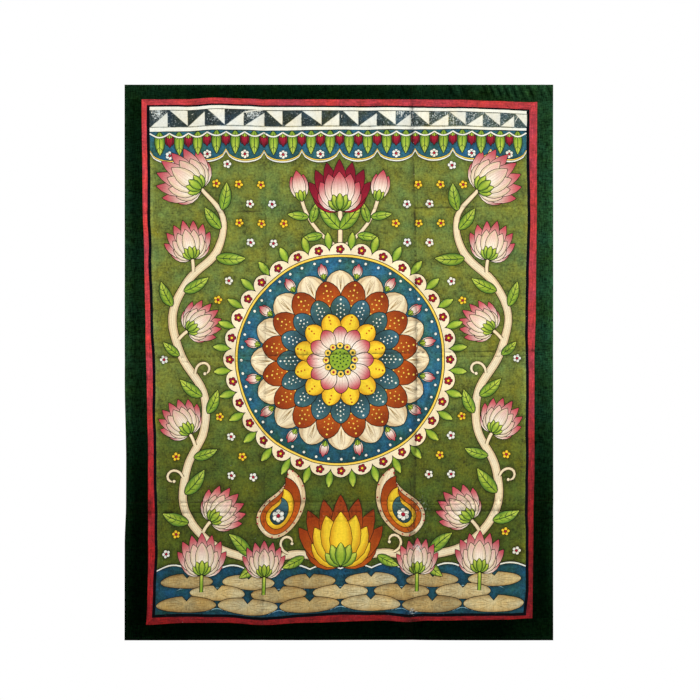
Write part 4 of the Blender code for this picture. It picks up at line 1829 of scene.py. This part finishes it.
def stitch_points(at, ahead, form, side):
    """The points of many threads: for each, its start, its rings and its end."""
    aside = np.column_stack((-ahead[:, 1], ahead[:, 0]))
    rings = [(-0.5, 0.0, 1)]
    rings += [(ring.share - 0.5, ring.swell, STITCH_SIDES) for ring in STITCH_RINGS]
    rings += [(0.5, 0.0, 1)]
    points = []
    for share, swell, corners in rings:
        for k in range(corners):
            turn = math.tau * (k + 0.5) / STITCH_SIDES
            spread = STITCH_RADIUS * swell
            x, down = (at + ahead * STITCH_LENGTH * share + aside * spread * math.cos(turn)).T
            out = STITCH_LIFT - STITCH_SINK * (1 - swell) + spread * math.sin(turn) + THICKNESS / 2
            points.append(np.column_stack((x, side * out - form(x, down), -down)))
    return np.stack(points, axis=1)


def stitch_faces():
    """The faces of one thread, over its points in that order."""
    faces = []
    around = [(k, (k + 1) % STITCH_SIDES) for k in range(STITCH_SIDES)]
    for a, b in around:
        faces.append((0, 1 + b, 1 + a))
        last = 1 + STITCH_SIDES * (len(STITCH_RINGS) - 1)
        faces.append((last + STITCH_SIDES, last + a, last + b))
    for k in range(len(STITCH_RINGS) - 1):
        near, far = 1 + STITCH_SIDES * k, 1 + STITCH_SIDES * (k + 1)
        for a, b in around:
            faces.append((near + a, near + b, far + b))
            faces.append((near + a, far + b, far + a))
    return np.array(faces)


def hem_stitches(material):
    corners = corners_of(RIGHT - HEM_STITCH, HEM_STITCH, HEIGHT - HEM_STITCH)
    runs = [stitch_run(a, b) for a, b in zip(corners, corners[1:] + corners[:1])]
    at, ahead = (np.vstack(parts) for parts in zip(*runs))
    on_left = at[:, 0] < LEFT + HEM_STITCH + 0.001
    at[:, 0] += np.where(on_left, left_edge(at[:, 1]) - LEFT, 0)
    random = np.random.default_rng(41)
    points, faces = [], []
    for form, side in ((strip_front, -1), (strip_back, 1)):
        shift = ahead * STITCH_STEP / 2 if side > 0 else 0
        centres = at + shift + random.normal(0, STITCH_STRAY, at.shape)
        lean = random.normal(0, STITCH_LEAN, len(at))[:, None]
        turned = ahead * np.cos(lean) + ahead[:, ::-1] * (-1, 1) * np.sin(lean)
        threads = stitch_points(centres, turned, form, side)
        first = sum(len(part) for part in points) + np.arange(len(threads)) * threads.shape[1]
        faces.append((stitch_faces()[:, :: -side] + first[:, None, None]).reshape(-1, 3))
        points.append(threads.reshape(-1, 3))
    mesh = bpy.data.meshes.new("hem_stitches")
    mesh.from_pydata(np.vstack(points), (), np.vstack(faces))
    mesh.shade_smooth()
    mesh.materials.append(material)
    return in_scene("hem_stitches", mesh)


# Materials. The sheen of the lit cloth is taken off each colour.
SHEEN = 0.008
DARKEST = 0.0015
PALEST = 0.90


def srgb(red, green, blue, sheen=SHEEN):
    """A colour as it shows in the lit middle of the cloth, as the cotton's own linear colour."""
    shown = np.array((red, green, blue)) / 255
    linear = np.where(shown <= 0.04045, shown / 12.92, ((shown + 0.055) / 1.055) ** 2.4)
    return tuple(np.clip(linear - sheen, DARKEST, PALEST))


# Each paint: its colour, how much it is mottled and streaked by the weave, the colour towards the tip of a
# stroke and at its sides, how strongly the bristles streak it and how often that changes along a stroke,
# how chipped it is, the number of veins across a petal, and how much painted shade makes it darker and
# deeper at the foot of the cloth.
Paint = namedtuple(
    "Paint",
    "base mottle streak tip edge bristle run chips veins foot deepen",
    defaults=(None, None, 0.20, 2.5, 0.0, 0, 0.0, 0.0),
)
PAINTS = {
    "red": Paint(srgb(183, 60, 65), 0.31, 0.20, bristle=0.80, run=38.0, foot=0.28, deepen=0.36),
    "black": Paint(srgb(13, 15, 19, sheen=0.0), 0.20, 0.20),
    "charcoal": Paint(srgb(43, 53, 52), 0.62, 0.28, tip=srgb(64, 78, 72), chips=0.90),
    "white": Paint(srgb(231, 230, 214), 0.08, 0.07),
    "chalk": Paint(srgb(224, 222, 205), 0.09, 0.08),
    "faded_line": Paint(srgb(165, 165, 145), 0.30, 0.40),
    "olive": Paint(
        srgb(105, 115, 52), 0.46, 0.21, srgb(121, 131, 64), srgb(88, 97, 40), foot=0.02, deepen=0.42
    ),
    "ink": Paint(srgb(34, 29, 24, sheen=0.0), 0.20, 0.20),
    "cream": Paint(srgb(238, 221, 182), 0.06, 0.07, edge=srgb(206, 178, 132), veins=4),
    "tan": Paint(srgb(186, 162, 108), 0.22, 0.18, edge=srgb(150, 121, 74), bristle=0.10, foot=0.1),
    "sand": Paint(srgb(210, 191, 140), 0.20, 0.17, edge=srgb(178, 150, 98), bristle=0.10, foot=0.1),
    "tan_line": Paint(srgb(150, 116, 66), 0.20, 0.30),
    "blue": Paint(srgb(54, 106, 122), 0.46, 0.18, edge=srgb(42, 88, 100), foot=0.30, deepen=0.20),
    "pale_blue": Paint(srgb(136, 174, 180), 0.20, 0.30),
    "navy": Paint(srgb(44, 70, 76), 0.26, 0.14, tip=srgb(66, 104, 110)),
    "yellow": Paint(srgb(238, 202, 52), 0.07, 0.07, edge=srgb(210, 152, 36)),
    "gold": Paint(srgb(240, 204, 84), 0.08, 0.06),
    "rust": Paint(srgb(182, 88, 30), 0.16, 0.10, tip=srgb(140, 56, 18)),
    "crimson": Paint(srgb(162, 34, 52), 0.14, 0.10, tip=srgb(118, 22, 40)),
    "blush": Paint(srgb(244, 228, 208), 0.05, 0.07, tip=srgb(190, 70, 84), veins=4),
    "ivory": Paint(
        srgb(246, 236, 212), 0.04, 0.06, srgb(228, 180, 164), srgb(222, 202, 166), veins=6
    ),
    "lime": Paint(srgb(140, 168, 52), 0.12, 0.10, srgb(190, 204, 78), srgb(70, 108, 44)),
    "deep_green": Paint(srgb(44, 72, 40), 0.20, 0.20),
}
MATT_PAINTS = ("black", "ink")
# The numbers that the cotton group takes, and those of the green strips.
AMOUNTS = ("Mottle", "Streak", "Chips", "Foot", "Deepen")
GREEN_AMOUNTS = (0.30, 0.78, -1.0, 0.42, 0.16)
BARE_COTTON = srgb(222, 212, 184)
CHALKY = srgb(214, 222, 218)
# The colour of dirt and painted shade along the creases.
SOIL_AND_SHADE = srgb(34, 28, 20)
VEIN = srgb(150, 100, 70)
# How much a painted highlight beside a crease lightens the colour.
PALE_LINE = 0.48
# Painted shade: the ground, the red band and the strips are painted darker and deeper towards the foot of
# the cloth, standing in for dimmer light there.
DARKER_BELOW = (-1.04, -0.70)
DARKER_SHARE = 0.76
DARKEST_BELOW = (-1.38, -1.00)
VEIN_SHARE = 0.36
VEIN_WIDTH = 0.16
# The strips' green from dark to pale: the dark one where painted shade lies beside the seams, the pale one
# where fading and painted highlight are strongest.
GREEN_COTTON = (0.0012, 0.0066, 0.0021)
FADED_AND_LIT_GREEN = srgb(38, 74, 44, sheen=0.0)
GREEN_THREAD = srgb(30, 62, 40, sheen=0.0)
COTTON_ROUGHNESS = 0.60
COTTON_SPECULAR = 0.12
DYED_ROUGHNESS = 0.90
DYED_SPECULAR = 0.0
BRISTLES = 4.2
TONE_RANGE = 0.06
THREAD_PITCH = 0.0011
WEAVE_DEPTH = 0.00010
SHOW_THROUGH = 0.30


class Nodes:
    """Adds nodes to a tree. An input is a value, or the output of another node."""

    def __init__(self, tree):
        self.tree = tree

    def add(self, kind, inputs, **settings):
        node = self.tree.nodes.new(kind)
        for name, value in settings.items():
            setattr(node, name, value)
        for name, value in inputs.items():
            if isinstance(value, bpy.types.NodeSocket):
                self.tree.links.new(value, node.inputs[name])
            else:
                node.inputs[name].default_value = value
        return node

    def math(self, operation, a, b=0.0, c=0.0):
        return self.add("ShaderNodeMath", {0: a, 1: b, 2: c}, operation=operation).outputs[0]

    def mixed(self, share, first, second):
        inputs = {0: share, 6: opaque(first), 7: opaque(second)}
        return self.add("ShaderNodeMix", inputs, data_type="RGBA").outputs[2]

    def noise(self, place, scale, detail=4.0, roughness=0.6):
        inputs = {"Vector": place, "Scale": scale, "Detail": detail, "Roughness": roughness}
        return self.add("ShaderNodeTexNoise", inputs).outputs[0]

    def stretched(self, place, scale):
        return self.add("ShaderNodeVectorMath", {0: place, 1: scale}, operation="MULTIPLY").outputs[0]

    def scaled(self, colour, shade):
        inputs = {0: colour, "Scale": shade}
        return self.add("ShaderNodeVectorMath", inputs, operation="SCALE").outputs[0]

    def eased(self, value, low, high, low_to=0.0, high_to=1.0):
        inputs = {"Value": value, "From Min": low, "From Max": high}
        inputs |= {"To Min": low_to, "To Max": high_to}
        return self.add("ShaderNodeMapRange", inputs, interpolation_type="SMOOTHSTEP").outputs[0]

    def place(self):
        return self.add("ShaderNodeTexCoord", {}).outputs["Object"]

    def attribute(self, name):
        return self.add("ShaderNodeAttribute", {}, attribute_name=name)

    def split(self, vector):
        return self.add("ShaderNodeSeparateXYZ", {0: vector}).outputs


def opaque(colour):
    """A plain colour with its alpha. The output of a node stays as it is."""
    return (*colour, 1.0) if isinstance(colour, tuple) else colour


def new_material(name):
    """A material with its nodes and its shader."""
    material = bpy.data.materials.new(name)
    material.use_nodes = True
    return material, Nodes(material.node_tree), material.node_tree.nodes["Principled BSDF"]


def cotton_group():
    """Turns a plain colour into that colour on woven, creased and rubbed cotton, with dirt, painted shade
    and painted highlights along its creases, and painted shade towards its foot.
    """
    group = bpy.data.node_groups.new("cotton", "ShaderNodeTree")
    sockets = [("Color", "INPUT", "Color"), ("Color", "OUTPUT", "Color"), ("Normal", "OUTPUT", "Vector")]
    for name, way, kind in sockets + [(amount, "INPUT", "Float") for amount in AMOUNTS]:
        group.interface.new_socket(name, in_out=way, socket_type=f"NodeSocket{kind}")
    nodes = Nodes(group)
    given = nodes.add("NodeGroupInput", {}).outputs
    place = nodes.place()
    x, _, z = nodes.split(place)
    broad = nodes.noise(place, 24.0, 6.0, 0.68)
    fine = nodes.noise(place, 200.0, 3.0, 0.85)
    weft = nodes.noise(nodes.stretched(place, (70.0, 70.0, 430.0)), 1.0, 2.0, 0.7)
    warp = nodes.noise(nodes.stretched(place, (430.0, 70.0, 70.0)), 1.0, 2.0, 0.7)
    drift = nodes.math("MULTIPLY_ADD", nodes.noise(place, 15.0, 4.0, 0.62), 5.0, -2.5)
    drift = nodes.math("MULTIPLY", drift, given["Mottle"])
    warmer = nodes.math("MULTIPLY_ADD", drift, 0.6, 1.0)
    cooler = nodes.math("MULTIPLY_ADD", drift, -1.2, 1.0)
    tint = nodes.add("ShaderNodeCombineXYZ", {0: warmer, 1: 1.0, 2: cooler}).outputs[0]
    # Painted shade: the colour grows darker and deeper towards the foot of the cloth.
    lower = nodes.eased(z, *DARKER_BELOW, DARKER_SHARE, 0.0)
    lowest = nodes.eased(z, *DARKEST_BELOW, 1.0 - DARKER_SHARE, 0.0)
    depth = nodes.math("ADD", lower, lowest)
    deeper = nodes.math("MULTIPLY_ADD", depth, given["Deepen"], 1.0)
    deepened = nodes.add("ShaderNodeGamma", {0: given["Color"], 1: deeper}).outputs[0]
    tinted = nodes.stretched(deepened, tint)
    # Dirt with painted shade beside the creases, painted highlight lines, and rubbed paint.
    soil, pale, rub = nodes.split(nodes.attribute("WearAndShade").outputs["Vector"])
    mottle = nodes.math("MULTIPLY_ADD", broad, 4.4, -2.2)
    mottle = nodes.math("ADD", mottle, nodes.math("MULTIPLY_ADD", fine, 5.6, -2.8))
    streak = nodes.math("MULTIPLY_ADD", nodes.math("ADD", weft, warp), 4.6, -4.6)
    shade = nodes.math("MULTIPLY_ADD", mottle, given["Mottle"], 1.0)
    shade = nodes.math("MULTIPLY_ADD", streak, given["Streak"], shade)
    shade = nodes.math("MULTIPLY_ADD", pale, PALE_LINE, nodes.math("MAXIMUM", shade, 0.30))
    # The painted shade at the foot darkens the colour as well.
    darker = nodes.math("SUBTRACT", 1.0, nodes.math("MULTIPLY", depth, given["Foot"]))
    shade = nodes.math("MULTIPLY", shade, darker)
    painted = nodes.scaled(tinted, shade)
    # Dirt and painted shade darken the colour in patches.
    patchy = nodes.eased(nodes.noise(place, 90.0, 3.0), 0.3, 0.7, 0.6, 1.0)
    painted = nodes.mixed(nodes.math("MULTIPLY", soil, patchy), painted, SOIL_AND_SHADE)
    upright = nodes.noise(nodes.stretched(place, (430.0, 1.0, 120.0)), 1.0, 2.0)
    level = nodes.noise(nodes.stretched(place, (120.0, 1.0, 430.0)), 1.0, 2.0)
    flecks = nodes.math("MULTIPLY_ADD", rub, 0.40, nodes.math("MAXIMUM", upright, level))
    flecks = nodes.math("MULTIPLY_ADD", given["Chips"], 0.10, flecks)
    painted = nodes.mixed(nodes.eased(flecks, 0.70, 0.88), painted, CHALKY)
    warps = nodes.math("SINE", nodes.math("MULTIPLY", x, math.tau / THREAD_PITCH))
    wefts = nodes.math("SINE", nodes.math("MULTIPLY", z, math.tau / THREAD_PITCH))
    weave = nodes.math("MULTIPLY", warps, wefts)
    slubs = nodes.math("MULTIPLY_ADD", nodes.math("ADD", weft, warp), 1.2, weave)
    bump = nodes.add("ShaderNodeBump", {"Strength": 0.5, "Distance": WEAVE_DEPTH, "Height": slubs})
    nodes.add("NodeGroupOutput", {0: painted, 1: bump.outputs[0]})
    return group


def cotton_material(name, cotton, colour_of, amounts, dyed=False):
    """A cotton material. colour_of makes its colour from the material's own nodes. The amounts are
    those of the cotton group, in order, and the last ones may be left out."""
    material, nodes, shader = new_material(name)
    finish = nodes.add("ShaderNodeGroup", {}, node_tree=cotton)
    colour = colour_of(nodes)
    if isinstance(colour, tuple):
        finish.inputs["Color"].default_value = opaque(colour)
    else:
        nodes.tree.links.new(colour, finish.inputs["Color"])
    for amount, value in zip(AMOUNTS, amounts):
        finish.inputs[amount].default_value = value
    nodes.tree.links.new(finish.outputs["Color"], shader.inputs["Base Color"])
    nodes.tree.links.new(finish.outputs["Normal"], shader.inputs["Normal"])
    shader.inputs["Roughness"].default_value = DYED_ROUGHNESS if dyed else COTTON_ROUGHNESS
    shader.inputs["Specular IOR Level"].default_value = DYED_SPECULAR if dyed else COTTON_SPECULAR
    return material


def paint_material(name, paint, cotton):
    def colour_of(nodes):
        along, across, tone = nodes.split(nodes.attribute("Brush").outputs["Vector"])
        colour = paint.base
        if paint.tip:
            colour = nodes.mixed(nodes.eased(along, 0.30, 0.98), colour, paint.tip)
        if paint.edge:
            aside = nodes.math("ABSOLUTE", across)
            colour = nodes.mixed(nodes.eased(aside, 0.35, 1.05), colour, paint.edge)
        if paint.veins:
            beside = nodes.math("MULTIPLY_ADD", across, paint.veins / 2, 0.5)
            beside = nodes.math("PINGPONG", beside, 0.5)
            colour = nodes.mixed(nodes.eased(beside, 0.02, VEIN_WIDTH, VEIN_SHARE, 0.0), colour, VEIN)
        drawn = nodes.add("ShaderNodeCombineXYZ", {0: along, 1: across, 2: tone}).outputs[0]
        drawn = nodes.noise(nodes.stretched(drawn, (paint.run, BRISTLES, 9.0)), 1.0, 3.0, 0.6)
        shade = nodes.math("MULTIPLY_ADD", tone, TONE_RANGE, 1.0 - paint.bristle)
        return nodes.scaled(colour, nodes.math("MULTIPLY_ADD", drawn, paint.bristle * 2, shade))

    amounts = (paint.mottle, paint.streak, paint.chips, paint.foot, paint.deepen)
    return cotton_material(f"paint_{name}", cotton, colour_of, amounts, dyed=name in MATT_PAINTS)


def back_material(cotton):
    """Unpainted cotton, with the paint of the front showing through a little."""
    def colour_of(nodes):
        soaked = nodes.attribute("Soak").outputs["Color"]
        cloudy = nodes.noise(nodes.place(), 60.0)
        share = nodes.eased(cloudy, 0.25, 0.75, SHOW_THROUGH * 0.6, SHOW_THROUGH * 1.4)
        return nodes.mixed(share, BARE_COTTON, soaked)

    return cotton_material("bare_cotton", cotton, colour_of, (0.07, 0.12))


def strip_material(cotton):
    """Bottle green cotton, paler in some places and in streaks that run down the cloth: fading, painted
    shade beside the seams, and painted highlight in the streaks, which stand in for light on its ribs.
    """
    def colour_of(nodes):
        place = nodes.place()
        cloudy = nodes.noise(place, 14.0, 5.0, 0.65)
        # Streaks down the cloth: painted highlight that stands in for light on its ribs.
        streaky = nodes.noise(nodes.stretched(place, (210.0, 40.0, 6.0)), 1.0, 3.0, 0.6)
        uneven = nodes.math("ADD", nodes.math("MULTIPLY_ADD", cloudy, 1.1, -0.05), streaky)
        share = nodes.math("MULTIPLY", nodes.attribute("Fade").outputs["Fac"], uneven)
        return nodes.mixed(share, GREEN_COTTON, FADED_AND_LIT_GREEN)

    return cotton_material("green_cotton", cotton, colour_of, GREEN_AMOUNTS, dyed=True)


def thread_material(cotton):
    return cotton_material("green_thread", cotton, lambda nodes: GREEN_THREAD, (0.10, 0.20), dyed=True)


# The studio: a pale floor, a white surround, soft light from above, and the camera face on.
FLOOR_DOWN = 1.80
FLOOR_RADIUS = 1.60
CAMERA_AWAY = 8.0
CAMERA_X = 0.0280
CAMERA_DOWN = 0.6686
VIEW_WIDTH = 1.764
SENSOR = 36.0
AREA_SIZE = 1.6
POOL_ANGLE = 51.0
POOL_BLEND = 0.65
POOL_SOFTNESS = 0.20
AMBIENT = 0.23
FLOOR_COLOURS = ((0.78, 0.78, 0.77), (0.84, 0.84, 0.83))
FLOOR_ROUGHNESS = 0.6
Lamp = namedtuple("Lamp", "at aim power")
KEY = Lamp((-0.7, -2.8, 0.0), (-0.1, 0.0, 0.7), 166.0)
FILL = Lamp((1.2, -2.5, 0.1), (-0.1, 0.0, -0.7), 46.0)
BACK = Lamp((0.8, 2.6, 0.2), (0.0, 0.0, -0.7), 46.0)


def studio_floor():
    turns = np.linspace(math.tau, 0, 96, endpoint=False)
    points = [(FLOOR_RADIUS * math.sin(turn), FLOOR_RADIUS * math.cos(turn), -FLOOR_DOWN) for turn in turns]
    mesh = bpy.data.meshes.new("floor")
    mesh.from_pydata(points, (), [tuple(range(len(points)))])
    material, nodes, shader = new_material("pale_floor")
    cloud = nodes.eased(nodes.noise(nodes.place(), 3.0, 3.0), 0.3, 0.7)
    colour = nodes.mixed(cloud, *FLOOR_COLOURS)
    nodes.tree.links.new(colour, shader.inputs["Base Color"])
    shader.inputs["Roughness"].default_value = FLOOR_ROUGHNESS
    mesh.materials.append(material)
    return in_scene("floor", mesh)


def area_light(name, at, aim, power):
    light = bpy.data.lights.new(name, "AREA")
    light.shape = "DISK"
    light.size = AREA_SIZE
    place_lamp(light, at, aim, power)


def spot_light(at, aim, power):
    """A soft pool of light on the upper part of the cloth, which leaves its foot dimmer."""
    light = bpy.data.lights.new("key", "SPOT")
    light.spot_size = 2 * math.radians(POOL_ANGLE)
    light.spot_blend = POOL_BLEND
    light.shadow_soft_size = POOL_SOFTNESS
    place_lamp(light, at, aim, power)


def place_lamp(light, at, aim, power):
    light.energy = power
    lamp = in_scene(light.name, light)
    lamp.location = at
    lamp.rotation_euler = (Vector(aim) - Vector(at)).to_track_quat("-Z", "Y").to_euler()


def surround():
    """White behind the cloth as the camera sees it, and a softer grey as light."""
    world = bpy.data.worlds.new("surround")
    world.use_nodes = True
    nodes = Nodes(world.node_tree)
    background = world.node_tree.nodes["Background"]
    seen = nodes.add("ShaderNodeLightPath", {}).outputs["Is Camera Ray"]
    strength = nodes.eased(seen, 0.0, 1.0, AMBIENT, 1.0)
    nodes.tree.links.new(strength, background.inputs["Strength"])
    background.inputs["Color"].default_value = (1.0, 1.0, 1.0, 1.0)
    bpy.context.scene.world = world


def studio():
    studio_floor()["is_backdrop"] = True
    surround()
    spot_light(*KEY)
    area_light("fill", *FILL)
    area_light("back", *BACK)
    bpy.context.scene.view_settings.view_transform = "Standard"
    camera = bpy.data.cameras.new("camera")
    camera.sensor_width = SENSOR
    camera.lens = SENSOR * CAMERA_AWAY / VIEW_WIDTH
    viewer = in_scene("camera", camera)
    viewer.location = (CAMERA_X, -CAMERA_AWAY, -CAMERA_DOWN)
    viewer.rotation_euler = (math.radians(90), 0, 0)
    bpy.context.scene.camera = viewer


def main():
    studio()
    cotton = cotton_group()
    paints = {name: paint_material(name, paint, cotton) for name, paint in PAINTS.items()}
    panel = painted_panel(painted_design(), paints, back_material(cotton))
    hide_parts("painted_panel")
    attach(panel, "root")
    stitches = hem_stitches(thread_material(cotton))
    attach(stitches, "root")
    for node, piece in strips(strip_material(cotton)).items():
        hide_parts(node)
        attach(piece, "root")


main()
boxes = {"cad": cad_box, "visual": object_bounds()}
{name: [[round(float(v), 5) for v in corner] for corner in box] for name, box in boxes.items()}
